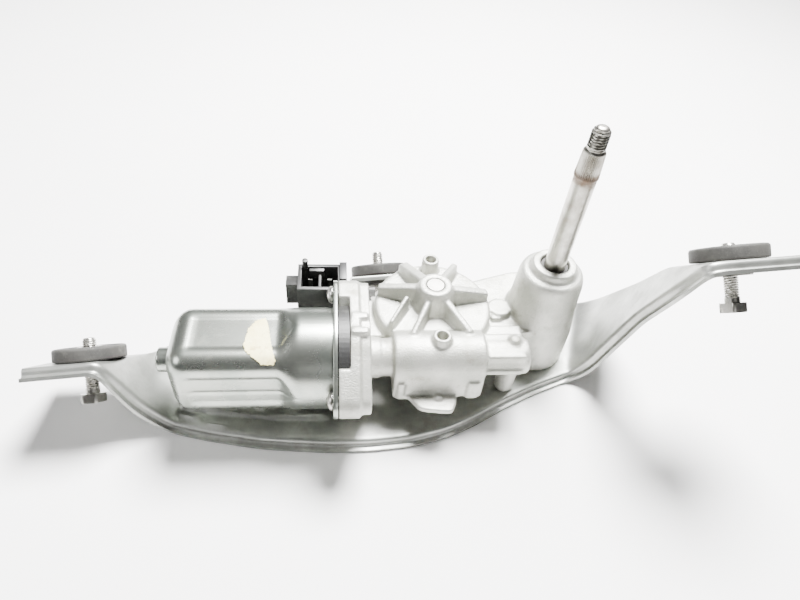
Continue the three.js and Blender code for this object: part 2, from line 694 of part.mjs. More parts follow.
function rib([innerRadius, innerAngle, outerRadius, outerAngle, width]) {
  const start = new THREE.Vector2(innerRadius, 0).rotateAround(new THREE.Vector2(), rad(innerAngle));
  const end = new THREE.Vector2(outerRadius, 0).rotateAround(new THREE.Vector2(), rad(outerAngle));
  const along = end.clone().sub(start);
  const half = width / 2;
  const crest = ribFoot + bossTop;
  const section = [[-half - ribLean, 0], [half + ribLean, 0], [half - 2 * ribLean, crest],
    [-half + 2 * ribLean, crest]];
  const shape = new THREE.Shape(section.map(([u, v]) => new THREE.Vector2(u, v)));
  const geometry = new THREE.ExtrudeGeometry(shape, { depth: along.length(), bevelEnabled: false });
  return solid(alongX(geometry, 0, 0).rotateZ(along.angle()).translate(start.x, start.y, 0));
}

function dome() {
  const drum = solid(turned([[0, caseBottom], [caseRadius, caseBottom], [caseRadius, ribFoot - 1.2],
    [caseRadius - 1.2, ribFoot], [0, ribFoot]], 36));
  const hub = solid(turned([[0, 0], [hubRadius + 1.4, 0], [hubRadius + 1.4, ribFoot],
    [hubRadius, hubRoot], [7.8, bossTop - 0.8], [7.4, bossTop], [0, bossTop]], 28));
  const cone = solid(turned([[0, 0], [caseRadius, 0], [caseRadius, caseTop],
    [caseRadius - 1.6, domeShoulder], [hubRadius, hubRoot], [0, hubRoot]], 36));
  return joined(drum, hub, joined(...ribs.map(rib)).intersect(cone));
}

function tunnelBlock() {
  const shape = new THREE.Shape();
  shape.moveTo(-tunnelRadius - 0.7, tunnelBottom);
  shape.lineTo(tunnelRadius + 0.7, tunnelBottom);
  shape.lineTo(tunnelRadius, 0);
  shape.absarc(0, 0, tunnelRadius, 0, Math.PI, false);
  return solid(alongX(prism(shape, -tunnelHalf, tunnelHalf, 10)));
}

const towerNeckRadius = 10.9;
const towerShoulder = 26; // height where the tower steps in to its mouth
const towerShoulderRadius = 15;
const towerWaistRadius = 16.6;
const towerWaist = 5;
const skirtFrom = 247; // the skirt reaches the bracket on this side only
const skirtTo = 355;
const mouthEdge = 0.6;

function tower() {
  const body = solid(placed(turned([[0, caseBottom], [towerFoot, caseBottom],
    [towerFoot, caseBottom + 6], [towerWaistRadius, towerWaist],
    [towerShoulderRadius + mouthEdge, towerShoulder - past], [towerShoulderRadius, towerShoulder],
    [towerNeckRadius, towerShoulder], [towerNeckRadius, mouthZ - mouthEdge],
    [towerNeckRadius - mouthEdge, mouthZ], [0, mouthZ]], 28), outputX, outputY, 0));
  const skirt = solid(placed(ring(towerFoot, towerFoot - caseWall, plateTop + gap,
    caseBottom + past, 28), outputX, outputY, 0)).intersect(solid(placed(
    wedge(2 * towerFoot, rad(skirtFrom), rad(skirtTo), plateTop, caseBottom + 2 * past),
    outputX, outputY, 0)));
  return body.add(skirt);
}

const footRoot = 8; // how far a foot runs up into the case
const footDraft = 0.6;

function feet() {
  return footPoints.map(([x, y]) => solid(placed(
    turned([[0, plateTop + gap], [footRadius, plateTop + gap],
      [footRadius + footDraft, caseBottom + footRoot], [0, caseBottom + footRoot]], 14), x, y, 0)));
}

const neckRadius = 8.9;
const neckRings = 9.4;
const neckRingFront = housingFlangeBack + 5;
const webTop = 2;
const tailRadius = 8.5;
const tailEnd = 42.5;
const tailBack = tunnelHalf - 3; // inside the worm's tunnel
const tailHalf = 7.6;
const pipRadius = 3.2;
const stepRadius = 6;
const tabThickness = 3;
const tabOutline = [[-14.3, -8], [-14.3, -12.8], [-8.9, -20.5], [6, -22.4], [8.7, -16.1], [8.7, -8]];
const tabPinRadius = 1.9;
const tabPinY = motorY - 14.6;

function neckAndWeb() {
  const back = housingFlangeBack - 3;
  const neck = solid(alongX(turned([[0, back], [neckRings, back], [neckRings, neckRingFront],
    [neckRadius, neckRingFront + gap], [neckRadius, 0], [0, 0]], 20)));
  return neck.add(solid(box(housingFlangeBack - 2, -20, -16, 8, caseBottom + 2, webTop)));
}

function tail() {
  const barrel = solid(alongX(rod(tailRadius, tailBack, tailEnd, 20)));
  const ledge = solid(box(tailBack, tailEnd - 2.5, motorY - tailHalf, motorY + tailHalf, -2, 8));
  const root = solid(box(tailBack, tailEnd - 0.5, motorY, motorY + 16, -9, 4));
  const pip = new THREE.SphereGeometry(pipRadius, 10, 6).rotateX(Math.PI / 2);
  return joined(barrel, ledge, root, solid(placed(pip, 35.5, motorY + 2, 7.4)));
}

function tab() {
  const outline = tabOutline.map(([x, y]) => [x, motorY + y]);
  const top = tunnelBottom + tabThickness;
  return solid(slab(outline, tunnelBottom, top)).add(
    solid(placed(rod(tabPinRadius, tunnelBottom + past, top + 1.4, 12), 0, tabPinY, 0)));
}

function hollowPosts() {
  return posts.map(([x, y, top]) => solid(placed(
    turned([[0, 2], [postRadius + 0.5, 2], [postRadius, top], [0, top]], 20), x, y, 0)));
}

// the flange with its two thicknesses, and the rim round the brush plate
function housingFlange() {
  const thick = flangePlate(plateFront + gap, flangeStep + 0.5).add(
    flangePlate(flangeStep, housingFlangeBack, -1.2));
  const rim = flangePlate(yokeFront + gap, plateFront + gap + past);
  return thick.add(cut(rim,
    solid(alongX(rod(rimInner, yokeFront - past, plateFront + gap, 28))),
    windowWedge(2 * flangeRadius, yokeFront - past, plateFront + gap, 0)));
}

function gearHousingOutside() {
  const fin = box(outputX + 10, outputX + 21, outputY + 4, outputY + 14, caseBottom, -4);
  return joined(dome(), solid(belt(linkCaseCircles, caseBottom, linkCaseTop, 14)), neckAndWeb(),
    tail(), tunnelBlock(), tower(), ...feet(), tab(), solid(fin), ...hollowPosts(),
    solid(placed(rod(stepRadius, caseBottom + past, linkCaseTop + 3.4, 24), 35, 3, 0)),
    housingFlange());
}

const bearingOuter = 6;
const bearingFront = -26;
const tailBushOuter = 5;
const bushOuter = 7; // output shaft's bushes
const coverScrewBore = 1.5;
const wheelHeadroom = 1.5;
const recessRadius = 14;
const recessDepth = 4;

function gearHousing() {
  const half = wheelWidth / 2;
  const motorRooms = [
    rod(wormTop + 0.9, -tunnelHalf + 2, tunnelHalf - 3, 20), // worm
    rod(armatureShaftRadius + 0.8, plateFront - past, shaftFront + 0.6, 20),
    rod(bearingOuter + gap, plateFront - past, bearingFront + 0.5, 24),
    rod(tailBushOuter + gap, tunnelHalf - 4, shaftFront + 0.2, 24),
    rod(recessRadius, plateFront - past, plateFront + recessDepth, 20),
  ].map((geometry) => solid(alongX(geometry)));
  const uprightRooms = [
    rod(caseInner, caseBottom - past, half + wheelHeadroom, 30),
    rod(wheelShaftRadius + gap, 0, bossTop + past, 24),
    belt(linkRoomCircles, caseBottom - past, linkRoof, 14),
    placed(rod(bushOuter + gap, linkRoof - past, towerShoulder, 20), outputX, outputY, 0),
    placed(rod(bushOuter - 0.25, towerShoulder - past, mouthZ + past, 20), outputX, outputY, 0),
    ...posts.map(([x, y, top]) => placed(rod(postHole, top - 6, top + past, 14), x, y, 0)),
    ...footPoints.map(([x, y]) => placed(
      rod(footBore, plateTop - past, plateTop + bracketScrewReach + past, 14), x, y, 0)),
    ...coverScrews.map(([x, y]) => placed(
      rod(coverScrewBore, caseBottom - past, caseBottom + coverScrewReach + past, 12), x, y, 0)),
  ].map(solid);
  return cut(gearHousingOutside(), ...motorRooms, ...uprightRooms,
    ...screwBore(2.4, yokeFront - past, housingFlangeBack + past));
}

const coverScrewReach = 5;
const coverScrews = [110, 150, 330].map((angle) => [
  (caseInner + caseWall / 2) * Math.cos(rad(angle)), (caseInner + caseWall / 2) * Math.sin(rad(angle))]);
const coverRim = 1.2;
function gearCover() {
  const grown = linkCaseCircles.map(([x, y, r], i) => [x, y, i === 1 ? 12.2 : r - coverRim]);
  const disc = solid(rod(caseRadius - 0.4, coverTop - coverThickness, coverTop, 32));
  const tongue = solid(belt(grown, coverTop - coverThickness, coverTop, 18));
  const clearFeet = footPoints.map(([x, y]) => solid(placed(
    rod(footRadius + 1, coverTop - 5, coverTop + 1, 20), x, y, 0)));
  return cut(disc.add(tongue), ...clearFeet, ...coverScrews.map(([x, y]) => solid(placed(
    rod(1.6, coverTop - 5, coverTop + 1, 12), x, y, 0))));
}

node('gear_housing', gearHousing(), 'castAluminium');
node('gear_cover', gearCover(), 'galvanised');

coverScrews.forEach(([x, y], i) => {
  const head = coverTop - coverThickness - gap;
  node(`cover_screw_${i + 1}`, solid(placed(turned([[0, head - 1.6], [2.2, head - 1.6],
    [2.6, head], [1.2, head], [1.2, caseBottom + coverScrewReach],
    [0, caseBottom + coverScrewReach]], 12), x, y, 0)), 'brightSteel');
});

const bracketScrewHead = 2.6;
footPoints.forEach(([x, y], i) => {
  const head = plateTop - sheet - gap;
  const screw = turned([[0, head], [bracketScrewShank, head - gap],
    [bracketScrewShank, plateTop + bracketScrewReach], [0, plateTop + bracketScrewReach]], 14);
  node(`bracket_screw_${i + 1}`, solid(placed(screw, x, y, 0)).add(solid(placed(
    hexagon(8, head - bracketScrewHead, head), x, y, 0))), 'brightSteel');
});

// Wheel and its shaft --------------------------------------------------------

const hubDepth = 1.5;
function wormWheel() {
  const toothTip = wheelPitchRadius + wormModule;
  const toothRoot = wheelPitchRadius - 1.25 * wormModule;
  const tooth = 360 / wheelTeeth;
  const points = [];
  for (let i = 0; i < wheelTeeth; i++) {
    const middle = -90 + (i + 0.5) * tooth; // a gap faces the worm
    for (const [radius, turn] of [[toothRoot, -0.3], [toothTip, -0.13], [toothTip, 0.13],
      [toothRoot, 0.3]]) {
      const angle = rad(middle + turn * tooth);
      points.push(new THREE.Vector2(radius * Math.cos(angle), radius * Math.sin(angle)));
    }
  }
  const half = wheelWidth / 2;
  const geometry = new THREE.ExtrudeGeometry(new THREE.Shape(points),
    { depth: wheelWidth, steps: 1, bevelEnabled: false }).translate(0, 0, -half);
  const position = geometry.attributes.position;
  for (let i = 0; i < position.count; i++) { // teeth lean with the worm's lead
    const lean = (position.getZ(i) * wormLead) / (2 * Math.PI * wormPitchRadius * wheelPitchRadius);
    const point = new THREE.Vector2(position.getX(i), position.getY(i));
    point.rotateAround(new THREE.Vector2(), lean);
    position.setXY(i, point.x, point.y);
  }
  return cut(solid(geometry),
    solid(rod(wheelShaftRadius + gap, -half - 1, half + 1, 16)),
    solid(rod(7.2, -half - 1, -half + hubDepth, 20)),
    solid(ring(18, 9.5, half - 2.5, half + 1, 20)));
}
node('worm_wheel', wormWheel(), 'whitePlastic');
node('wheel_shaft', solid(rod(wheelShaftRadius, -wheelWidth / 2, bossTop - 0.4, 24)).subtract(
  solid(ring(wheelShaftRadius + 1, wheelShaftRadius - 0.6, -wheelWidth / 2 + 0.2,
    -wheelWidth / 2 + 1.2, 24))), 'brightSteel');

function wheelClip() {
  const bottom = -wheelWidth / 2 + 0.35;
  const whole = solid(ring(6.4, wheelShaftRadius - 0.45, bottom, bottom + 0.7, 24));
  return whole.subtract(solid(box(-12, 0, -1.6, 1.6, bottom - 1, bottom + 2)));
}
node('wheel_clip', wheelClip(), 'brightSteel');

// Sector-and-link drive ------------------------------------------------------

const involute = (angle) => Math.tan(angle) - angle;
// a gear outline: teeth between two counts, thinned for free running
function gearOutline(teeth, module, first, last, turn, thinning = 0.86) {
  const pitch = (teeth * module) / 2;
  const base = pitch * Math.cos(rad(20));
  const tip = pitch + 0.85 * module;
  const root = pitch - 1.2 * module;
  const halfAtPitch = (Math.PI / (2 * teeth)) * thinning;
  const halfAt = (radius) => {
    const used = Math.max(radius, base);
    return halfAtPitch + involute(rad(20)) - involute(Math.acos(base / used));
  };
  const radii = [root, Math.max(base, root + 0.2), pitch, tip];
  const points = [];
  for (let i = first; i <= last; i++) {
    const middle = turn + (i * 2 * Math.PI) / teeth;
    for (const radius of radii) {
      points.push(new THREE.Vector2(radius, 0).rotateAround(new THREE.Vector2(), middle - halfAt(radius)));
    }
    for (const radius of radii.slice().reverse()) {
      points.push(new THREE.Vector2(radius, 0).rotateAround(new THREE.Vector2(), middle + halfAt(radius)));
    }
  }
  return points;
}

const leverBottom = leverTop - leverThickness;
const linkTop = leverBottom - gap;
const linkThickness = 1.8;
const pinionFacing = centreLine + rad(linkPark) + Math.PI; // from the sector's centre to the shaft
const sectorSpread = 2; // teeth either side of the sector's middle
const pivotRadius = 2.5;
const eyeRadius = 5;

function sectorLever() {
  const toothTurn = (2 * Math.PI) / sectorTeeth;
  const sweep = Math.round(rad(20) / toothTurn);
  const teeth = gearOutline(sectorTeeth, linkModule, -sectorSpread + sweep, sectorSpread + sweep,
    pinionFacing + toothTurn / 2);
  const sector = solid(prism(new THREE.Shape([new THREE.Vector2(0, 0), ...teeth]),
    leverBottom, leverTop)).translate(pivotParked.x, pivotParked.y, 0);
  const arm = solid(belt([[crankPin.x, crankPin.y, eyeRadius], [pivotParked.x, pivotParked.y, 5.5]],
    leverBottom, leverTop, 20));
  const eyes = [crankPin, pivotParked].map(({ x, y }) => solid(
    placed(rod(pivotRadius + gap, leverBottom - past, leverTop + past, 20), x, y, 0)));
  return cut(joined(sector, arm), ...eyes);
}
node('sector_lever', sectorLever(), 'brightSteel');

// the pin stops short of the wheel, so that both can turn freely
function crank() {
  const headTop = leverBottom - gap;
  const tip = -wheelWidth / 2 - gap;
  return solid(placed(turned([[0, headTop - pivotHeadHeight], [pivotHead, headTop - pivotHeadHeight],
    [pivotHead, headTop], [pivotRadius, headTop], [pivotRadius, tip], [0, tip]], 20),
  crankPin.x, crankPin.y, 0));
}
node('crank_pin', crank(), 'brightSteel');

function linkPlate() {
  const eyes = [[outputX, outputY, 6.6], [pivotParked.x, pivotParked.y, eyeRadius]];
  const stub = shaftRadius - 1;
  return cut(solid(belt(eyes, linkTop - linkThickness, linkTop, 24)),
    solid(placed(rod(stub + gap, linkTop - 5, linkTop + 1, 24), outputX, outputY, 0)),
    solid(placed(rod(pivotRadius + gap, linkTop - 5, linkTop + 1, 20), pivotParked.x, pivotParked.y, 0)));
}
node('link_plate', linkPlate(), 'brightSteel');
function sectorPivotPin() {
  const headTop = linkTop - linkThickness - gap;
  const rivet = leverTop + gap;
  return solid(placed(turned([[0, headTop - pivotHeadHeight], [pivotHead, headTop - pivotHeadHeight],
    [pivotHead, headTop], [pivotRadius, headTop], [pivotRadius, rivet],
    [pivotHead - 0.4, rivet], [pivotHead - 0.4, rivet + 0.7], [0, rivet + 0.7]], 20),
  pivotParked.x, pivotParked.y, 0));
}
node('sector_pivot_pin', sectorPivotPin(), 'brightSteel');

// Output shaft ---------------------------------------------------------------

function knurl() {
  const flutes = 24;
  const points = [];
  for (let i = 0; i < flutes; i++) {
    for (const [turn, radius] of [[0, shaftRadius + 0.35], [0.5, shaftRadius - 0.25]]) {
      const angle = ((i + turn) / flutes) * 2 * Math.PI;
      points.push(new THREE.Vector2(radius * Math.cos(angle), radius * Math.sin(angle)));
    }
  }
  const geometry = prism(new THREE.Shape(points), shaftPlainTop, knurlTop);
  const position = geometry.attributes.position;
  const taper = 0.92;
  for (let i = 0; i < position.count; i++) {
    const scale = position.getZ(i) > shaftPlainTop + 1 ? taper : 1;
    position.setXY(i, position.getX(i) * scale, position.getY(i) * scale);
  }
  return solid(geometry);
}

function outputShaft() {
  const stub = shaftRadius - 1;
  const foot = linkTop - linkThickness - gap;
  const threadRadius = 3.85;
  const core = solid(turned([[0, foot], [stub, foot], [stub, leverBottom], [shaftRadius, leverBottom],
    [shaftRadius, shaftPlainTop + 0.5], [threadRadius, shaftPlainTop + 1], [threadRadius - 0.3, knurlTop],
    [threadRadius, knurlTop + 1.2], [threadRadius, threadTop - 3], [threadRadius - 1.2, threadTop - 1],
    [1.6, threadTop], [0, threadTop]], 20));
  const towardSector = centreLine + rad(linkPark);
  const pinion = solid(prism(new THREE.Shape(gearOutline(pinionTeeth, linkModule, 0, pinionTeeth - 1,
    towardSector)), leverBottom, leverTop + 0.6));
  return joined(core, pinion, knurl()).translate(outputX, outputY, 0);
}
node('output_shaft', outputShaft(), 'brightSteel');

const aroundShaft = (outer, bottom, top) => solid(placed(
  ring(outer, shaftRadius + bearingFit, bottom, top, 20), outputX, outputY, 0));
node('shaft_bush_lower', aroundShaft(bushOuter, linkRoof + 0.1, 8), 'bronze');
node('shaft_bush_upper', aroundShaft(bushOuter, 14, towerShoulder - 2), 'bronze');
node('shaft_seal', aroundShaft(bushOuter - 0.55, towerShoulder + 0.4, mouthZ - 1.6), 'rubber');

// The whole stands on its base: origin under the middle of its outer box
const bounds = new THREE.Box3().setFromObject(wiperMotor);
wiperMotor.position.set(-(bounds.min.x + bounds.max.x) / 2, -(bounds.min.y + bounds.max.y) / 2,
  -bounds.min.z);

export default wiperMotor;
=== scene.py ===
import bpy
import bmesh
import json
import math
from mathutils import Vector, Matrix, noise
from mathutils.geometry import convex_hull_2d


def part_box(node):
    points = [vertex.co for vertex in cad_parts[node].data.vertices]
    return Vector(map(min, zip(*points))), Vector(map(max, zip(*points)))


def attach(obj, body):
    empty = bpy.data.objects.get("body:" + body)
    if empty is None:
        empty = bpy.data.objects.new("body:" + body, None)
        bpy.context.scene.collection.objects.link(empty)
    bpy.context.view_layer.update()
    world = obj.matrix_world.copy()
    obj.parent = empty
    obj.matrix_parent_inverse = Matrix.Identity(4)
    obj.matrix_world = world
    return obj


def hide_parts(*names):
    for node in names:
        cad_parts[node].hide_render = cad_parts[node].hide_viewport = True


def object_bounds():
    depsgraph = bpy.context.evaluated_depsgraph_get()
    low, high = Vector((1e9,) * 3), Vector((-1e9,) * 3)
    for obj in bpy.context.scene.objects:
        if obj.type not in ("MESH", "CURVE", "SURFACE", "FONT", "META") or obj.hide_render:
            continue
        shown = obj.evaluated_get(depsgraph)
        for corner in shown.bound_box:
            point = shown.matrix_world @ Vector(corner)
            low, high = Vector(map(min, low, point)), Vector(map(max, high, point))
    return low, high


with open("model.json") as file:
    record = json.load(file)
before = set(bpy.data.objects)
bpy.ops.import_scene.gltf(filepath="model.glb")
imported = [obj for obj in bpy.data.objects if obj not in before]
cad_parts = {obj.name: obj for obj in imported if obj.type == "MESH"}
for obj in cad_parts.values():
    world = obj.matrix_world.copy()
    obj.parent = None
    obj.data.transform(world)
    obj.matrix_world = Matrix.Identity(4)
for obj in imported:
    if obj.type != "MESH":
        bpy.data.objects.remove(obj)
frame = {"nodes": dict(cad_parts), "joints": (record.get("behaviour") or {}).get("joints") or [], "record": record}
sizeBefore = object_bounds()
print("frame loaded")

# Local frame: millimetres from the worm wheel's centre, axes as in the row frame
joints = {joint["name"]: joint for joint in frame["joints"]}
mounts = {mount["name"]: mount for mount in frame["record"]["mounts"]}
wheelAt = Vector(joints["wheel_spin"]["pos_m"])


def local(point):
    return (Vector(point) - wheelAt) * 1000


outputAt = local(joints["output_swing"]["pos_m"])
motorAt = local(joints["armature_spin"]["pos_m"])
motorAt.x = 0
boltLean = Vector(joints["bolt_left_slide"]["axis"]).normalized()
padBack = boltLean.cross(Vector((1, 0, 0))).normalized()
padAlong = padBack.cross(boltLean)
rubberTop = 6.2
sides = ("left", "right", "rear")
padAt = {side: local(mounts[side + "_mount_face"]["pos_m"]) - boltLean * rubberTop + padAlong * 10
         for side in sides}
scene = bpy.context.scene


# Shapes, in local millimetres

# points with round corners; radius may be one value or one per point
def filleted(points, radius, closed=False, steps=5):
    count = len(points)
    radii = radius if isinstance(radius, (list, tuple)) else [radius] * count
    out = []
    for i, point in enumerate(points):
        p = Vector(point)
        if (not closed and i in (0, count - 1)) or radii[i] <= 0:
            out.append(tuple(p))
            continue
        a, c = Vector(points[i - 1]) - p, Vector(points[(i + 1) % count]) - p
        reach = min(radii[i], 0.49 * a.length, 0.49 * c.length)
        start, end = p + a.normalized() * reach, p + c.normalized() * reach
        for k in range(steps + 1):
            t = k / steps
            out.append(tuple(start * (1 - t) ** 2 + p * 2 * t * (1 - t) + end * t * t))
    return out


def turned(profile, segments=96):
    verts, faces, rings = [], [], []
    for r, z in profile:
        if r < 1e-5:
            rings.append([len(verts)])
            verts.append(Vector((0, 0, z)))
        else:
            rings.append(list(range(len(verts), len(verts) + segments)))
            verts += [Vector((r * math.cos(a), r * math.sin(a), z))
                      for a in (2 * math.pi * k / segments for k in range(segments))]
    for a, b in zip(rings, rings[1:]):
        for i in range(segments):
            j = (i + 1) % segments
            if len(a) == 1 and len(b) == 1:
                continue
            if len(a) == 1:
                faces.append((a[0], b[i], b[j]))
            elif len(b) == 1:
                faces.append((a[i], b[0], a[j]))
            else:
                faces.append((a[i], b[i], b[j], a[j]))
    return verts, faces


# the outline of a plain cylinder, to be turned
def rod(radius, low, high):
    return [(0, low), (radius, low), (radius, high), (0, high)]


# closed skin through rings of equal length, capped at both ends
def stacked(rings):
    verts = [Vector(p) for ring in rings for p in ring]
    count, faces = len(rings[0]), []
    for k in range(len(rings) - 1):
        for i in range(count):
            j = (i + 1) % count
            faces.append((k * count + i, k * count + j, (k + 1) * count + j, (k + 1) * count + i))
    faces.append(tuple(range(count))[::-1])
    faces.append(tuple(range((len(rings) - 1) * count, len(rings) * count)))
    return verts, faces


def inset(outline, amount):
    out, count = [], len(outline)
    area = sum(outline[i - 1][0] * outline[i][1] - outline[i][0] * outline[i - 1][1]
               for i in range(count))
    turn = 1 if area > 0 else -1
    for i, point in enumerate(outline):
        a, c = Vector(outline[i - 1][:2]), Vector(outline[(i + 1) % count][:2])
        way = (c - a).normalized()
        out.append((point[0] - turn * way.y * amount, point[1] + turn * way.x * amount))
    return out


def prism(outline, bottom, top, bevel=0.0):
    if bevel <= 0:
        levels = [(0, bottom), (0, top)]
    else:
        levels = [(bevel, bottom), (0.3 * bevel, bottom + 0.3 * bevel), (0, bottom + bevel),
                  (0, top - bevel), (0.3 * bevel, top - 0.3 * bevel), (bevel, top)]
    return stacked([[(x, y, z) for x, y in inset(outline, amount)] for amount, z in levels])


def circle(x, y, r, count):
    return [(x + r * math.cos(a), y + r * math.sin(a))
            for a in (2 * math.pi * k / count for k in range(count))]


def belt(circles, count=64):
    cloud = [Vector(p) for one in circles for p in circle(*one, count)]
    return [tuple(cloud[i]) for i in convex_hull_2d(cloud)]


def block(x0, x1, y0, y1, z0, z1, bevel=0.6):
    return prism(filleted([(x0, y0), (x1, y0), (x1, y1), (x0, y1)], 1.2, True, 3), z0, z1, bevel)


def moved(shape, matrix):
    return [matrix @ v for v in shape[0]], shape[1]


alongX = Matrix(((0, 0, 1, 0), (1, 0, 0, 0), (0, 1, 0, 0), (0, 0, 0, 1)))
onMotor = Matrix.Translation(motorAt) @ alongX


def alongMotor(profile, segments):
    return moved(turned(profile, segments), onMotor)


def shifted(shape, x=0.0, y=0.0, z=0.0):
    return moved(shape, Matrix.Translation((x, y, z)))


def spin(profile, radius, x=0.0, y=0.0, segments=96, steps=4):
    return shifted(turned(filleted(profile, radius, False, steps), segments), x, y)


def onPad(side):
    lean = Vector((0, 0, 1)).rotation_difference(boltLean)
    return Matrix.Translation(padAt[side]) @ lean.to_matrix().to_4x4()


def together(shapes):
    verts, faces = [], []
    for some, more in shapes:
        faces += [tuple(i + len(verts) for i in face) for face in more]
        verts += some
    return verts, faces


# Objects

def placed(name, data):
    made = bpy.data.objects.new(name, data)
    scene.collection.objects.link(made)
    return made


def tidy(mesh):
    work = bmesh.new()
    work.from_mesh(mesh)
    bmesh.ops.remove_doubles(work, verts=work.verts, dist=1e-6)
    bmesh.ops.recalc_face_normals(work, faces=work.faces)
    work.to_mesh(mesh)
    work.free()


def toObject(name, shape, matrix=None):
    verts, faces = shape
    if matrix is not None:
        verts = [matrix @ v for v in verts]
    mesh = bpy.data.meshes.new(name)
    mesh.from_pydata([tuple(v * 0.001 + wheelAt) for v in verts], [], faces)
    tidy(mesh)
    return placed(name, mesh)


# applies the modifiers
def baked(thing):
    bpy.context.view_layer.update()
    shape = bpy.data.meshes.new_from_object(
        thing.evaluated_get(bpy.context.evaluated_depsgraph_get()))
    thing.modifiers.clear()
    old, thing.data = thing.data, shape
    bpy.data.meshes.remove(old)
    return thing


def carved(base, cutters, operation="DIFFERENCE"):
    cutter = toObject("cutter", together(cutters))
    cut = base.modifiers.new("cut", "BOOLEAN")
    cut.operation = operation
    cut.solver = "EXACT"
    cut.use_self = True
    cut.object = cutter
    baked(base)
    bpy.data.objects.remove(cutter)
    return base


# one skin with soft edges, as a casting has
def cast(thing, voxel, rounds):
    skin = thing.modifiers.new("skin", "REMESH")
    skin.mode = "VOXEL"
    skin.voxel_size = voxel * 0.001
    soft = thing.modifiers.new("soft", "SMOOTH")
    soft.factor = 0.5
    soft.iterations = rounds
    return baked(thing)


def finish(thing, material, body, replaced=(), angle=35):
    for one in list(thing.data.materials):
        thing.data.materials.pop()
    thing.data.materials.append(material)
    if angle:
        thing.data.polygons.foreach_set("use_smooth", [True] * len(thing.data.polygons))
        thing.data.set_sharp_from_angle(angle=math.radians(angle))
    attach(thing, body)
    if replaced:
        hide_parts(*replaced)
    return thing


# Node trees

# a number socket that takes Python's operators
class Value:
    def __init__(self, tree, socket):
        self.tree, self.socket = tree, socket

    def maths(self, operation, *others, flip=False, clamp=False):
        node = self.tree.nodes.new("ShaderNodeMath")
        node.operation = operation
        node.use_clamp = clamp
        parts = [self, *others]
        if flip:
            parts.reverse()
        for socket, part in zip(node.inputs, parts):
            if isinstance(part, Value):
                self.tree.links.new(part.socket, socket)
            else:
                socket.default_value = part
        return Value(self.tree, node.outputs[0])

    def __add__(self, other):
        return self.maths("ADD", other)

    def __sub__(self, other):
        return self.maths("SUBTRACT", other)

    def __mul__(self, other):
        return self.maths("MULTIPLY", other)

    def __truediv__(self, other):
        return self.maths("DIVIDE", other)

    def __rsub__(self, other):
        return self.maths("SUBTRACT", other, flip=True)

    def __rtruediv__(self, other):
        return self.maths("DIVIDE", other, flip=True)

    def __neg__(self):
        return self.maths("MULTIPLY", -1.0)

    def clip(self):
        return self.maths("ADD", 0.0, clamp=True)

    __radd__, __rmul__ = __add__, __mul__


# adds nodes to a tree: type, settings, then socket values or links
class Nodes:
    def __init__(self, tree):
        self.tree = tree

    def add(self, kind, settings=None, sockets=None):
        node = self.tree.nodes.new(kind)
        for key, value in (settings or {}).items():
            setattr(node, key, value)
        for key, value in (sockets or {}).items():
            socket = node.inputs[key]
            if isinstance(value, Value):
                self.tree.links.new(value.socket, socket)
            elif isinstance(value, bpy.types.NodeSocket):
                self.tree.links.new(value, socket)
            else:
                socket.default_value = value
        return node

    def value(self, node, output=0):
        return Value(self.tree, node.outputs[output])

    def noise(self, place, scale, detail=3.0, rough=0.55, stretch=None):
        if stretch:
            place = self.add("ShaderNodeMapping", None,
                             {"Vector": place, "Scale": stretch}).outputs[0]
        return self.value(self.add("ShaderNodeTexNoise", None, {
            "Vector": place, "Scale": scale, "Detail": detail, "Roughness": rough}))

    def span(self, value, low, high, to=(0.0, 1.0)):
        return self.value(self.add("ShaderNodeMapRange", {"interpolation_type": "SMOOTHSTEP"}, {
            "Value": value, "From Min": low, "From Max": high, "To Min": to[0], "To Max": to[1]}))

    def mix(self, factor, a, b):
        return self.add("ShaderNodeMix", {"data_type": "RGBA"}, {
            0: factor, 6: a, 7: b}).outputs[2]


def colour(hexed):
    parts = [int(hexed[i:i + 2], 16) / 255 for i in (0, 2, 4)]
    return (*[p / 12.92 if p <= 0.04045 else ((p + 0.055) / 1.055) ** 2.4 for p in parts], 1.0)


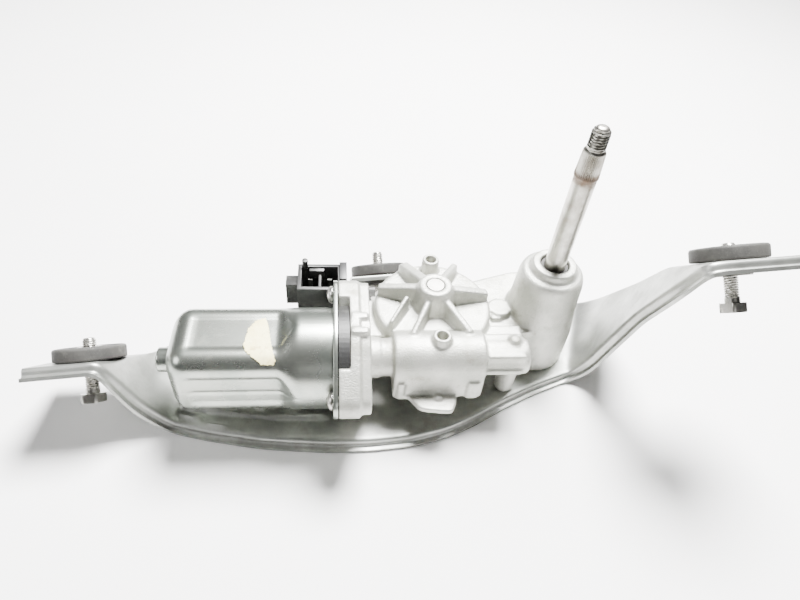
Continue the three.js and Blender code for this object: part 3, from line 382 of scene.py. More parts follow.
# a procedural material: two tones, specks, dirt, grain and dents from one dictionary
def surface(name, look, extra=None):
    material = bpy.data.materials.new(name)
    material.use_nodes = True
    tree = material.node_tree
    tree.nodes.clear()
    n = Nodes(tree)
    place = n.add("ShaderNodeTexCoord").outputs["Object"]
    broad = n.noise(place, look["broad"], 4.0, 0.6)
    fine = n.noise(place, look["fine"], 2.0, 0.6, look.get("stretch"))
    tint = n.mix(n.span(broad, 0.35, 0.68), colour(look["light"]), colour(look["dark"]))
    speck = n.span(fine, 0.56, 0.74) * look.get("specks", 0.3)
    tint = n.mix(speck, tint, colour(look["speck"]))
    rough = look["rough"] + (broad - 0.5) * look.get("roughSpread", 0.15) + speck * 0.12
    height = fine * look.get("grain", 0.3) + broad * look.get("dents", 0.2)
    if look.get("spangle"):
        cells = n.add("ShaderNodeTexVoronoi", {"feature": "F1"}, {
            "Vector": place, "Scale": look["spangle"], "Randomness": 1.0})
        grey = n.value(n.add("ShaderNodeSeparateColor", None, {
            "Color": cells.outputs["Color"]}))
        tint = n.mix(grey * look["spangleTint"], tint, colour(look["speck"]))
        rough = rough + (grey - 0.5) * 0.08
    if look.get("dirt"):
        grime = n.span(n.noise(place, look["dirtScale"], 6.0, 0.68), 0.54, 0.72) * look["dirt"]
        tint = n.mix(grime, tint, colour(look["dirtTint"]))
        rough = rough + grime * 0.25
    metal = look["metal"]
    if extra:
        tint, rough, metal, height = extra(n, place, tint, rough, metal, height)
    bump = n.add("ShaderNodeBump", None, {
        "Height": height, "Strength": look.get("bump", 0.25),
        "Distance": look.get("bumpDepth", 0.0004)})
    shader = n.add("ShaderNodeBsdfPrincipled", None, {
        "Base Color": tint, "Roughness": rough.clip(), "Metallic": metal,
        "Normal": bump.outputs[0], "IOR": look.get("ior", 1.5)})
    out = n.add("ShaderNodeOutputMaterial")
    tree.links.new(shader.outputs[0], out.inputs[0])
    return material


# a brown ring of rust at the foot of the knurl, thinning down the shaft
def rusted(n, place, tint, rough, metal, height):
    up = n.value(n.add("ShaderNodeSeparateXYZ", None, {"Vector": place}), 2)
    foot = wheelAt.z + 0.079
    ragged = (n.noise(place, 420.0, 4.0) - 0.5) * 0.006
    band = n.span((up - foot + ragged).maths("ABSOLUTE"), 0.0, 0.0045, (1.0, 0.0))
    stain = n.span(up, foot - 0.05, foot, (0.0, 0.18)) * n.span(
        n.noise(place, 160.0, 5.0, 0.7, (1, 1, 0.25)), 0.45, 0.7)
    rust = (band * 0.75 + stain).clip()
    tint = n.mix(rust, tint, colour("5c4024"))
    return tint, rough + rust * 0.35, 1.0 - rust * 0.8, height + rust * 0.4


# brown marks and fibres on old paper
def spotted(n, place, tint, rough, metal, height):
    marks = n.span(n.noise(place, 210.0, 4.0, 0.65), 0.58, 0.68)
    tint = n.mix(marks * 0.5, tint, colour("9a7f4c"))
    folds = n.noise(place, 260.0, 2.0, 0.5, (1, 0.35, 1))
    return tint, rough, metal, height + folds * 0.8


looks = {
    "galvanised": {"light": "aaaba7", "dark": "8f918c", "speck": "7a7c78", "broad": 38.0,
                   "fine": 900.0, "rough": 0.43, "metal": 0.92, "specks": 0.22, "spangle": 190.0,
                   "spangleTint": 0.16, "dirt": 0.35, "dirtScale": 60.0, "dirtTint": "7d7a72",
                   "bump": 0.12, "dents": 0.5},
    "yokeSteel": {"light": "abaea6", "dark": "959b94", "speck": "7d827b", "broad": 45.0,
                  "fine": 1100.0, "rough": 0.27, "metal": 0.95, "specks": 0.15, "stretch": (0.12, 1, 1),
                  "dirt": 0.25, "dirtScale": 85.0, "dirtTint": "8d8874", "bump": 0.07, "dents": 0.9},
    "castAluminium": {"light": "bcbcb5", "dark": "a5a69e", "speck": "7e7f78", "broad": 70.0,
                      "fine": 1400.0, "rough": 0.5, "metal": 0.72, "specks": 0.3, "dirt": 0.4,
                      "dirtScale": 95.0, "dirtTint": "77725f", "bump": 0.55, "grain": 1.0,
                      "dents": 0.35},
    "brightSteel": {"light": "b9b8b3", "dark": "9c9a94", "speck": "7c7973", "broad": 90.0,
                    "fine": 1500.0, "rough": 0.3, "metal": 0.96, "specks": 0.25,
                    "stretch": (1, 1, 0.1), "bump": 0.12},
    "shaftSteel": {"light": "b7b5ae", "dark": "8f8c84", "speck": "6d6a62", "broad": 110.0,
                   "fine": 1300.0, "rough": 0.3, "metal": 1.0, "specks": 0.35,
                   "stretch": (1, 1, 0.08), "bump": 0.12},
    "rubber": {"light": "3b3a37", "dark": "2d2c2a", "speck": "5a5853", "broad": 120.0,
               "fine": 1800.0, "rough": 0.72, "metal": 0.0, "specks": 0.35, "dirt": 0.3,
               "dirtScale": 130.0, "dirtTint": "77776f", "bump": 0.3, "grain": 0.7},
    "blackPlastic": {"light": "262625", "dark": "1b1b1b", "speck": "3d4042", "broad": 80.0,
                     "fine": 1700.0, "rough": 0.45, "metal": 0.0, "specks": 0.3, "dirt": 0.25,
                     "dirtScale": 120.0, "dirtTint": "6a6a66", "bump": 0.2, "grain": 0.5},
    "whitePlastic": {"light": "ece8da", "dark": "ddd7c4", "speck": "c7bfa6", "broad": 90.0,
                     "fine": 1200.0, "rough": 0.45, "metal": 0.0, "specks": 0.2, "bump": 0.15},
    "copper": {"light": "c47a48", "dark": "a35e33", "speck": "7a4525", "broad": 120.0,
               "fine": 1200.0, "rough": 0.35, "metal": 1.0, "specks": 0.25, "bump": 0.15},
    "ferrite": {"light": "44423f", "dark": "33312f", "speck": "575450", "broad": 110.0,
                "fine": 1500.0, "rough": 0.7, "metal": 0.1, "specks": 0.4, "bump": 0.4},
    "bronze": {"light": "ad8148", "dark": "8c6534", "speck": "6a4b26", "broad": 110.0,
               "fine": 1700.0, "rough": 0.45, "metal": 0.95, "specks": 0.4, "bump": 0.35},
    "tinned": {"light": "5b5b58", "dark": "444542", "speck": "2f302e", "broad": 120.0,
               "fine": 1400.0, "rough": 0.42, "metal": 0.85, "specks": 0.35, "bump": 0.15},
    "carbon": {"light": "303030", "dark": "232323", "speck": "474747", "broad": 150.0,
               "fine": 1800.0, "rough": 0.62, "metal": 0.1, "specks": 0.4, "bump": 0.3},
    "paper": {"light": "f4ecb6", "dark": "e6d898", "speck": "c3b27a", "broad": 75.0,
              "fine": 1600.0, "rough": 0.85, "metal": 0.0, "specks": 0.25, "bump": 0.45,
              "dents": 0.6},
    "floor": {"light": "f2f1f0", "dark": "eeedec", "speck": "e8e7e6", "broad": 3.0,
              "fine": 500.0, "rough": 0.75, "metal": 0.0, "specks": 0.1, "bump": 0.02},
}
extras = {"shaftSteel": rusted, "paper": spotted}
materials = {name: surface(name, look, extras.get(name)) for name, look in looks.items()}
slotLook = {"galvanised_steel": "galvanised", "cast_aluminium": "castAluminium",
            "bright_steel": "brightSteel", "black_plastic": "blackPlastic",
            "white_plastic": "whitePlastic"}
for entry in frame["record"]["subparts"]:
    node = frame["nodes"][entry["node"]]
    node.data.materials.clear()
    slot = entry["material_slot"]
    tinned = entry["node"].startswith("terminal_blade")
    node.data.materials.append(materials["tinned" if tinned else slotLook.get(slot, slot)])
print("materials made")


# Threads and knurls

# moves the skin of a turned piece in and out in ridges: rise 0 gives a knurl, else a thread
def ridgeGroup():
    group = bpy.data.node_groups.new("ridges", "GeometryNodeTree")
    face = group.interface
    face.new_socket("Geometry", in_out="INPUT", socket_type="NodeSocketGeometry")
    for name in ("Rise", "Teeth", "Depth", "Start", "End", "Fade"):
        face.new_socket(name, in_out="INPUT", socket_type="NodeSocketFloat")
    face.new_socket("Material", in_out="INPUT", socket_type="NodeSocketMaterial")
    face.new_socket("Geometry", in_out="OUTPUT", socket_type="NodeSocketGeometry")
    n = Nodes(group)
    start = n.add("NodeGroupInput")
    read = {socket.name: Value(group, socket) for socket in start.outputs if socket.name}
    place = n.add("GeometryNodeInputPosition").outputs[0]
    split = n.add("ShaderNodeSeparateXYZ", None, {"Vector": place})
    x, y, z = (n.value(split, k) for k in range(3))
    turn = y.maths("ARCTAN2", x) / (2 * math.pi)
    phase = (z * read["Rise"] + turn * read["Teeth"]).maths("FRACT")
    groove = 1.0 - (phase * 2.0 - 1.0).maths("ABSOLUTE")
    inside = (((z - read["Start"]) / read["Fade"]).clip()
              * ((read["End"] - z) / read["Fade"]).clip())
    radius = (x * x + y * y).maths("SQRT")
    outward = n.add("ShaderNodeCombineXYZ", None, {
        "X": x / (radius + 1e-6), "Y": y / (radius + 1e-6)})
    offset = n.add("ShaderNodeVectorMath", {"operation": "SCALE"}, {
        "Vector": outward.outputs[0], "Scale": -(groove * inside * read["Depth"])})
    shift = n.add("GeometryNodeSetPosition", None, {
        "Geometry": start.outputs["Geometry"], "Offset": offset.outputs[0]})
    real = n.add("GeometryNodeRealizeInstances", None, {"Geometry": shift.outputs[0]})
    paint = n.add("GeometryNodeSetMaterial", None, {
        "Geometry": real.outputs[0], "Material": start.outputs["Material"]})
    out = n.add("NodeGroupOutput")
    group.links.new(paint.outputs[0], out.inputs[0])
    return group


ridges = ridgeGroup()


def ridged(thing, settings, material):
    live = thing.modifiers.new("ridges", "NODES")
    live.node_group = ridges
    keys = {item.name: item.identifier for item in ridges.interface.items_tree
            if item.in_out == "INPUT"}
    for name, value in {**settings, "Material": material}.items():
        live[keys[name]] = value
    return baked(thing)


# the same profile with close rings between two heights, so that ridges can form
def spaced(profile, start, end, step):
    out = [profile[0]]
    for (r0, z0), (r1, z1) in zip(profile, profile[1:]):
        count = 1
        if max(z0, z1) > start and min(z0, z1) < end and abs(z1 - z0) > step:
            count = math.ceil(abs(z1 - z0) / step)
        out += [(r0 + (r1 - r0) * k / count, z0 + (z1 - z0) * k / count)
                for k in range(1, count + 1)]
    return out


# a mesh about +Z at the origin, in metres, so that the ridge group can read its radius
def upright(name, shape):
    mesh = bpy.data.meshes.new(name)
    mesh.from_pydata([tuple(v * 0.001) for v in shape[0]], [], shape[1])
    tidy(mesh)
    return placed(name, mesh)


# puts an upright mesh in its place, in its vertices
def stand(thing, matrix):
    metres = Matrix.Translation(wheelAt + matrix.translation * 0.001) @ matrix.to_3x3().to_4x4()
    thing.data.transform(metres)
    return thing


# Output shaft

shaft = {"knurlFrom": 79.0, "knurlTo": 91.4, "pitch": 1.25, "threadDepth": 0.62, "teeth": 38,
         "toothDepth": 0.5, "segments": 152, "ringStep": 0.16}
pinion = {"teeth": 10, "turn": 73.01, "bottom": -9.5, "top": -4.9,
          "flank": [(4.7, 0.21), (6.25, 0.13), (7.2, 0.05)]}  # radius and half width in radians


def outputShaft():
    s = shaft
    low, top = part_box("output_shaft")[0].z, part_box("output_shaft")[1].z
    tip = (top - wheelAt.z) * 1000
    profile = filleted([
        (0, (low - wheelAt.z) * 1000), (4.0, (low - wheelAt.z) * 1000), (4.0, -9.5), (5.0, -9.5),
        (5.0, s["knurlFrom"] - 0.6), (5.35, s["knurlFrom"] + 0.2), (5.25, s["knurlFrom"] + 1.6),
        (4.75, s["knurlTo"] - 0.5), (4.1, s["knurlTo"]), (3.5, s["knurlTo"] + 0.6),
        (4.0, s["knurlTo"] + 1.2), (4.0, tip - 2.4), (3.1, tip - 0.9), (1.6, tip), (0, tip)],
        [0, 0.3, 0, 0, 0.3, 0.3, 0.2, 0.4, 0.4, 0.4, 0.3, 0.5, 0.9, 0.8, 0], False, 4)
    dense = spaced(profile, s["knurlFrom"] - 0.5, tip, s["ringStep"])
    made = upright("output_shaft_skin", turned(dense, s["segments"]))
    steel = materials["shaftSteel"]
    ridged(made, {"Rise": 0.0, "Teeth": float(s["teeth"]), "Depth": s["toothDepth"] * 0.001,
                  "Start": (s["knurlFrom"] + 0.4) * 0.001, "End": s["knurlTo"] * 0.001,
                  "Fade": 0.0008}, steel)
    ridged(made, {"Rise": 1000 / s["pitch"], "Teeth": -1.0, "Depth": s["threadDepth"] * 0.001,
                  "Start": (s["knurlTo"] + 1.2) * 0.001, "End": (tip - 0.6) * 0.001,
                  "Fade": 0.0006}, steel)
    stand(made, Matrix.Translation((outputAt.x, outputAt.y, 0)))
    gear = toObject("output_pinion", shifted(prism(pinionOutline(), pinion["bottom"], pinion["top"]),
                                             outputAt.x, outputAt.y))
    finish(made, steel, "output", ("output_shaft",), 50)
    finish(gear, materials["brightSteel"], "output", (), 30)


def pinionOutline():
    outline = []
    for i in range(pinion["teeth"]):
        middle = 2 * math.pi * i / pinion["teeth"] + math.radians(pinion["turn"])
        rising = [(radius, -half) for radius, half in pinion["flank"]]
        falling = [(radius, half) for radius, half in reversed(pinion["flank"])]
        outline += [(radius * math.cos(middle + turn), radius * math.sin(middle + turn))
                    for radius, turn in rising + falling]
    return outline


outputShaft()
print("output shaft made")


# Mounting bolts

bolt = {"radius": 3.0, "length": 25.0, "pitch": 1.0, "depth": 0.45, "flats": 10.0, "head": 4.0}
headBelow = {"left": 14.8, "right": 17.3, "rear": 11.5}


# a hexagon whose corners are turned off at both faces
def hexHead(flats, bottom, top, segments=48):
    rings = []
    corner = flats / math.sqrt(3)
    for z, cap in ((bottom, 0.93), (bottom + 0.45, 1.0), (top - 0.45, 1.0), (top, 0.95)):
        ring = []
        for k in range(segments):
            a = 2 * math.pi * k / segments
            edge = flats / 2 / math.cos((a % (math.pi / 3)) - math.pi / 6)
            r = min(edge, corner * cap)
            ring.append((r * math.cos(a), r * math.sin(a), z))
        rings.append(ring)
    return stacked(rings)


def mountBolt(side):
    below = headBelow[side]
    tip, end = bolt["length"] - below, -below - bolt["head"]
    profile = filleted([(0, -below - 0.4), (bolt["radius"], -below - 0.4),
                        (bolt["radius"], tip - 1.1), (bolt["radius"] - 0.9, tip), (0, tip)],
                       [0, 0, 0.3, 0.4, 0], False, 3)
    made = upright("mount_bolt_" + side + "_skin", turned(spaced(profile, -below, tip, 0.16), 48))
    steel = materials["brightSteel"]
    ridged(made, {"Rise": 1000 / bolt["pitch"], "Teeth": -1.0, "Depth": bolt["depth"] * 0.001,
                  "Start": (2 - below) * 0.001, "End": (tip - 0.4) * 0.001, "Fade": 0.0006}, steel)
    head = upright("head", together([
        hexHead(bolt["flats"], end, -below),
        turned(rod(3.4, end - 0.01, end + 0.4), 32)]))
    both = bmesh.new()
    both.from_mesh(made.data)
    both.from_mesh(head.data)
    both.to_mesh(made.data)
    both.free()
    bpy.data.objects.remove(head)
    stand(made, onPad(side))
    finish(made, steel, "bolt_" + side, ("mount_bolt_" + side,), 40)


for side in sides:
    mountBolt(side)
print("bolts made")


# Rubber mounts

def grommet(side):
    low = -4.9
    profile = filleted([
        (5.5, low), (12.4, low), (12.6, -1.9), (9.0, -1.9), (9.0, 0.3), (15.2, 0.3),
        (15.2, rubberTop), (12.3, rubberTop), (11.9, rubberTop - 0.5), (8.0, rubberTop - 0.5),
        (7.6, rubberTop), (5.5, rubberTop), (5.5, low)],
        [0, 0.8, 0.6, 0.2, 0.2, 0.9, 1.4, 0.4, 0.4, 0.4, 0.4, 0.5, 0], False, 4)
    made = toObject("grommet_" + side + "_skin", turned(profile, 96), onPad(side))
    finish(made, materials["rubber"], "housing", ("grommet_" + side,), 40)


for side in sides:
    grommet(side)


# Motor case

yoke = {"half": 18.0, "corner": 7.5, "back": -118.0, "shoulder": 8.5, "blendFrom": -72.0,
        "blendTo": -62.5, "round": 22.8, "wall": 1.6, "front": -48.0, "dish": 0.5,
        "creaseAt": 0.56, "creaseDepth": 0.7, "creaseWidth": 0.8}
# the two-eared flange: circles of its outline, Y and Z from the motor's axis, then radius
flangeEars = [[(0, 0, 24.7), (22.5, 18, 6.5)], [(0, 0, 24.7), (-26.5, 4, 7.5)]]
flangeSteps = [[(0, 0, 23.4), (22.5, 18, 5.4)], [(0, 0, 23.4), (-26.5, 4, 6.0)]]


# one section of the case: four arcs with straight, slightly hollow sides between
def squareRing(x, half, corner, count=24, dish=0.0):
    ring, inner = [], half - corner
    for quarter in range(4):
        a0 = quarter * math.pi / 2
        cx = inner * (1 if quarter in (0, 3) else -1)
        cy = inner * (1 if quarter in (0, 1) else -1)
        for k in range(count + 1):
            a = a0 + k / count * math.pi / 2
            ring.append((x, motorAt.y + cx + corner * math.cos(a),
                         motorAt.z + cy + corner * math.sin(a)))
        nextX = inner * (1 if (quarter + 1) % 4 in (0, 3) else -1)
        nextY = inner * (1 if (quarter + 1) % 4 in (0, 1) else -1)
        a1 = a0 + math.pi / 2
        start = Vector((cx + corner * math.cos(a1), cy + corner * math.sin(a1)))
        end = Vector((nextX + corner * math.cos(a1), nextY + corner * math.sin(a1)))
        way = Vector((math.cos(a1), math.sin(a1)))
        for k in range(1, count):
            t = k / count
            dip = dish * (min(1, t / 0.12) * min(1, (1 - t) / 0.12)) ** 2
            if quarter == 1 and dish > 0:
                fall = (t - yoke["creaseAt"]) * 2 * inner
                dip += dish * yoke["creaseDepth"] * math.exp(-(fall / yoke["creaseWidth"]) ** 2)
            p = start.lerp(end, t) - way * dip
            ring.append((x, motorAt.y + p.x, motorAt.z + p.y))
    return ring


# half width, corner radius and dish at x
def yokeSection(x):
    s = yoke
    t = min(max((x - s["blendFrom"]) / (s["blendTo"] - s["blendFrom"]), 0), 1)
    t = t * t * (3 - 2 * t)
    half = s["half"] + (s["round"] - s["half"]) * t
    corner = s["corner"] + (s["round"] - 0.01 - s["corner"]) * t
    rear = min(max((x - s["back"] - s["shoulder"] * 0.8) / 5, 0), 1)
    return half, corner, s["dish"] * (1 - t) * rear


def motorYoke():
    s = yoke
    rings = []
    shoulder, rounds = s["shoulder"], 10
    for k in range(1, rounds + 1):
        a = k / rounds * math.pi / 2
        grow = shoulder * (1 - math.sin(a))
        rings.append(squareRing(s["back"] + shoulder * (1 - math.cos(a)), s["half"] - grow,
                                max(s["corner"] - grow * 0.35, 3.0)))
    rings.insert(0, squareRing(s["back"], s["half"] - shoulder, 3.5))
    x = s["back"] + shoulder + 1
    while x < s["front"]:
        half, corner, dish = yokeSection(x)
        rings.append(squareRing(x, half, corner, 24, dish))
        x += 1.0
    rings.append(squareRing(s["front"] + 0.6, s["round"], s["round"] - 0.01))
    for x in (s["front"] + 0.6, -62, -70, -109):
        half, corner, dish = yokeSection(x)
        rings.append(squareRing(x, half - s["wall"], corner - s["wall"]))
    rings.append(squareRing(s["back"] + s["wall"], s["half"] - shoulder, 3.5))
    body = stacked(rings)
    boss = filleted([(0, -125.2), (3.4, -125.2), (4.2, -124.7), (5.5, -124.4), (5.5, -117.9),
                     (7.4, -117.7), (7.4, -116.8), (0, -116.8)], [0, 0.4, 0.4, 0.8, 0.6, 0.4, 0, 0],
                    False, 4)
    lug = spin([(0, -20.5), (3.9, -20.5), (4.5, -19.9), (4.5, -16.8), (0, -16.8)],
               [0, 0.4, 0.4, 0, 0], -80.7, -37.2, 48)
    made = toObject("motor_yoke_skin", together([body, alongMotor(boss, 64), lug]))
    plates = [moved(prism(belt(one), -48, -46, 0.35), onMotor) for one in flangeEars]
    plate = carved(toObject("yoke_flange", plates[0]), [plates[1]], "UNION")
    plate = carved(plate, [alongMotor(rod(21.1, -50, -44), 96)])
    finish(plate, materials["yokeSteel"], "housing", (), 35)
    finish(made, materials["yokeSteel"], "housing", ("motor_yoke",), 40)


motorYoke()
print("motor case made")


def panScrew(name, y, z, replaced):
    profile = filleted([(0, -51), (1.4, -50.95), (3.5, -49.9), (4.0, -48.9), (4.0, -48.3),
                        (2.1, -48.3), (2.1, -33), (0, -33)], [0, 0.5, 1.0, 0.4, 0.2, 0, 0, 0],
                       False, 4)
    place = Matrix.Translation((0, motorAt.y + y, motorAt.z + z)) @ alongX
    made = toObject(name, moved(turned(profile, 48), place))
    reach, half = 2.3, 0.45
    carved(made, [moved(block(-a, a, -b, b, -51.5, -49.6, 0.1), place)
                  for a, b in ((reach, half), (half, reach))])
    finish(made, materials["brightSteel"], "housing", (replaced,), 35)


for name, (_, (y, z, _)) in zip(("yoke_screw_upper", "yoke_screw_lower"), flangeEars):
    panScrew(name + "_skin", y, z, name)


# Paper label

label = {"edge": [(-77.5, -8), (-82, -5.5), (-84, -2), (-85.5, 7), (-84.5, 10.5), (-82.5, 12.5),
                  (-77.5, 16.5), (-72.5, 17), (-72, 15), (-74, 7.5), (-76, -4)],
         "step": 0.35, "lift": 0.18, "thick": 0.22, "curl": 0.35, "margin": 0.5}


# a point on the case's skin: s runs from the top's middle towards the front
def yokePoint(x, s, lift):
    half, corner, dish = yokeSection(x)
    inner = half - corner
    arc = corner * math.pi / 2
    high = half + lift
    if s < inner:
        return Vector((x, motorAt.y - s, motorAt.z + high))
    if s < inner + arc:
        a = (s - inner) / corner
        return Vector((x, motorAt.y - inner - (corner + lift) * math.sin(a),
                       motorAt.z + inner + (corner + lift) * math.cos(a)))
    return Vector((x, motorAt.y - high, motorAt.z + inner - (s - inner - arc)))


def insideEdge(x, s, edge):
    found = False
    for (x0, s0), (x1, s1) in zip(edge, edge[1:] + edge[:1]):
        if (s0 > s) != (s1 > s) and x < (x1 - x0) * (s - s0) / (s1 - s0) + x0:
            found = not found
    return found


# how far the torn edge strays at a place: most at the closed end and on the front
def torn(x, t):
    spot = Vector((x * 1.1, t * 1.1, 0.0))
    jag = 0.55 if x < -78 or t > 12 else 0.2
    return x + jag * noise.noise(spot), t + jag * noise.noise(spot + Vector((9, 4, 2)))


def paperLabel():
    s, verts, faces, index = label, [], [], {}
    xs = [v[0] for v in s["edge"]]
    ss = [v[1] for v in s["edge"]]
    columns = int((max(xs) - min(xs)) / s["step"]) + 4
    rows = int((max(ss) - min(ss)) / s["step"]) + 4

    def at(i, j):
        return (min(xs) - s["margin"] + i * s["step"], min(ss) - s["margin"] + j * s["step"])

    def corner(i, j):
        if (i, j) not in index:
            x, t = at(i, j)
            wave = noise.noise(Vector((x * 0.35, t * 0.35, 3.0)))
            index[i, j] = len(verts)
            verts.append(yokePoint(x, t, s["lift"] + max(0.0, wave) * s["curl"]))
        return index[i, j]

    for i in range(columns):
        for j in range(rows):
            if insideEdge(*torn(*at(i + 0.5, j + 0.5)), s["edge"]):
                faces.append((corner(i, j), corner(i + 1, j), corner(i + 1, j + 1), corner(i, j + 1)))
    made = toObject("paper_label_sheet", (verts, faces))
    thick = made.modifiers.new("thick", "SOLIDIFY")
    thick.thickness = s["thick"] * 0.001
    thick.offset = 0.0
    baked(made)
    finish(made, materials["paper"], "housing", ("paper_label",), 60)


paperLabel()


# Gear housing

# ribs on the dome: inner radius and angle, outer radius and angle, width
ribs = [(3, 163.5, 27.4, 163.5, 4.2), (3, 118.6, 27.4, 118.6, 5.2), (3, 59.9, 27.4, 59.9, 3.6),
        (3, 8, 27.4, 8, 4.4), (13.6, -167.7, 27.4, -143.1, 2.2), (3, -117.5, 26.5, -117.5, 2.8),
        (3, -56.4, 27, -56.4, 3.4)]
dome = {"hub": 8.6, "hubTop": 17.4, "shoulder": 26.9, "shoulderTop": 12.4, "edge": 28.5,
        "edgeTop": 9.5, "lean": 0.5, "step": 1.2}
casting = {"voxel": 0.6, "rounds": 1, "faces": 190000, "base": -16, "feet": -29.7}
footPoints = [(38, -22), (76, 16), (-33.5, 9)]
linkArm = 18.75
centreLine = math.atan2(outputAt.y, outputAt.x)
pivots = [(outputAt.x + linkArm * math.cos(centreLine + math.radians(a)),
           outputAt.y + linkArm * math.sin(centreLine + math.radians(a))) for a in (68, 112)]


def domeHeight(r):
    d = dome
    if r < d["shoulder"]:
        t = max(r - d["hub"], 0) / (d["shoulder"] - d["hub"])
        return d["hubTop"] + (d["shoulderTop"] - d["hubTop"]) * t
    t = min((r - d["shoulder"]) / (d["edge"] - d["shoulder"]), 1)
    return d["shoulderTop"] + (d["edgeTop"] - d["shoulderTop"]) * t ** 2


# a rib whose crest follows the dome's slope
def domeRib(innerRadius, innerAngle, outerRadius, outerAngle, width):
    start, end = (Vector((r * math.cos(math.radians(a)), r * math.sin(math.radians(a))))
                  for r, a in ((innerRadius, innerAngle), (outerRadius, outerAngle)))
    way = (end - start).normalized()
    side, half = Vector((-way.y, way.x)), width / 2
    rings = []
    for k in range(math.ceil((end - start).length / dome["step"]) + 1):
        t = min(k * dome["step"] / (end - start).length, 1)
        p = start.lerp(end, t)
        top = domeHeight(p.length)
        rings.append([(*(p + side * u), z) for u, z in (
            (-half - dome["lean"], 0), (half + dome["lean"], 0), (half, top - 0.8),
            (half - 0.5, top), (-half + 0.5, top), (-half, top - 0.8))])
    return stacked(rings)


def domeShapes():
    base = casting["base"]
    return [
        spin([(0, base), (28.5, base), (28.5, 6.2), (27.3, 7.5), (0, 7.5)], [0, 1, 0.8, 0.8, 0]),
        spin([(0, 0), (10.2, 0), (10.2, 7.5), (8.7, 17.2), (7.9, 19.8), (7.4, 20.6), (5.0, 20.6),
              (4.7, 20.1), (0, 20.1)], [0, 0, 0, 1.2, 0.6, 0.4, 0.2, 0.2, 0]),
        *[domeRib(*one) for one in ribs]]


# the worm's tunnel with its neck towards the motor, its tail, and the pads on its front
def tunnelShapes():
    my, radius = motorAt.y, 11.8
    arch = [(radius * math.cos(math.pi * k / 24), radius * math.sin(math.pi * k / 24))
            for k in range(1, 24)]
    tunnel = [(-12.5, -15), (12.5, -15), (radius, 0), *arch, (-radius, 0)]
    neck = filleted([(0, -35), (9.4, -35), (9.4, -27.2), (8.7, -26.6), (8.7, 0), (0, 0)],
                    [0, 0, 0.6, 0.4, 0, 0])
    tail = filleted([(0, 18), (8.5, 18), (8.5, 41.4), (7.6, 42.5), (0, 42.5)], 0.8)
    tab = filleted([(-14.3, my - 8), (-14.3, my - 12.8), (-8.9, my - 20.5), (6, my - 22.4),
                    (8.7, my - 16.1), (8.7, my - 8)], [0, 1.5, 3, 2.5, 2.5, 0], True, 5)
    front, behind = my - 13.6, my - 10
    return [
        alongMotor(neck, 64),
        block(-34, -20, -16, 8, -14, 2), moved(prism(tunnel, -21, 21, 0.8), onMotor),
        alongMotor(tail, 64),
        block(18, 40, my - 7.6, my + 7.6, -2, 8, 1.2), block(18, 42, my, my + 16, -9, 4),
        spin([(0, 4), (3.2, 4), (3.2, 8.4), (2.2, 10.2), (0, 10.6)], [0, 0, 1.2, 1.6, 0],
             35.5, my + 2, 32),
        spin([(0, -15), (6, -15), (6, 1.9), (5.5, 2.4), (0, 2.4)], 0.5, 35, 3, 48),
        prism(tab, -15, -12, 0.6),
        spin([(0, -14), (1.9, -14), (1.9, -11.0), (1.4, -10.5), (0, -10.5)], 0.3, 0, my - 14.6, 24),
        block(-19, -15.8, front, behind, -15, -3.5, 0.4), block(-19, -9, front, behind, -15, -12.4, 0.4),
        block(13.2, 19, front, behind, -15, -3.5, 0.4), block(21, 39, my - 9.6, my - 5, -2.5, 0.5, 0.4),
        block(29.5, 35, -4.5, 4, -4, 1.2, 0.5)]


def post(x, y, top):
    return spin([(0, 2), (4.75, 2), (4.25, top - 0.5), (3.8, top), (0, top)], 0.4, x, y, 48)


def towerShape():
    base = casting["base"]
    return spin([(0, base), (18.5, base), (18.5, -10), (16.6, 5), (15.7, 22), (14.6, 25.4), (11.8, 26),
                 (10.9, 26.6), (10.9, 29.2), (10.2, 30), (0, 30)],
                [0, 0, 4, 4, 3, 2.5, 0.8, 0.5, 0.6, 0.5, 0], outputAt.x, outputAt.y)


def flangeShapes():
    my = motorAt.y
    shapes = [moved(prism(belt(one), -40.8, -36.6, 0.4), onMotor) for one in flangeEars]
    shapes += [moved(prism(belt(one), -38, -32, 0.5), onMotor) for one in flangeSteps]
    shapes += [block(-40.4, -33, my - 7, my - 3.4, 18, 25.2, 0.4),
               block(-40.4, -33, my + 1.4, my + 5, 18, 25.2, 0.4)]
    return shapes + [moved(prism(belt(one), -45.7, -39.8), onMotor) for one in flangeEars]


# what stands on the bracket: part of the tower's skirt, and the feet
def standingShapes():
    ox, oy, outer, inner, steps = outputAt.x, outputAt.y, 18.5, 15, 40
    arc = [math.radians(247 + 108 * k / steps) for k in range(steps + 1)]
    skirt = [(ox + outer * math.cos(a), oy + outer * math.sin(a)) for a in arc] + [
        (ox + inner * math.cos(a), oy + inner * math.sin(a)) for a in reversed(arc)]
    foot = [(0, casting["feet"]), (4.6, casting["feet"]), (5.2, -8), (0, -8)]
    return [prism(skirt, casting["feet"], -14)] + [spin(foot, 0, x, y, 40) for x, y in footPoints]


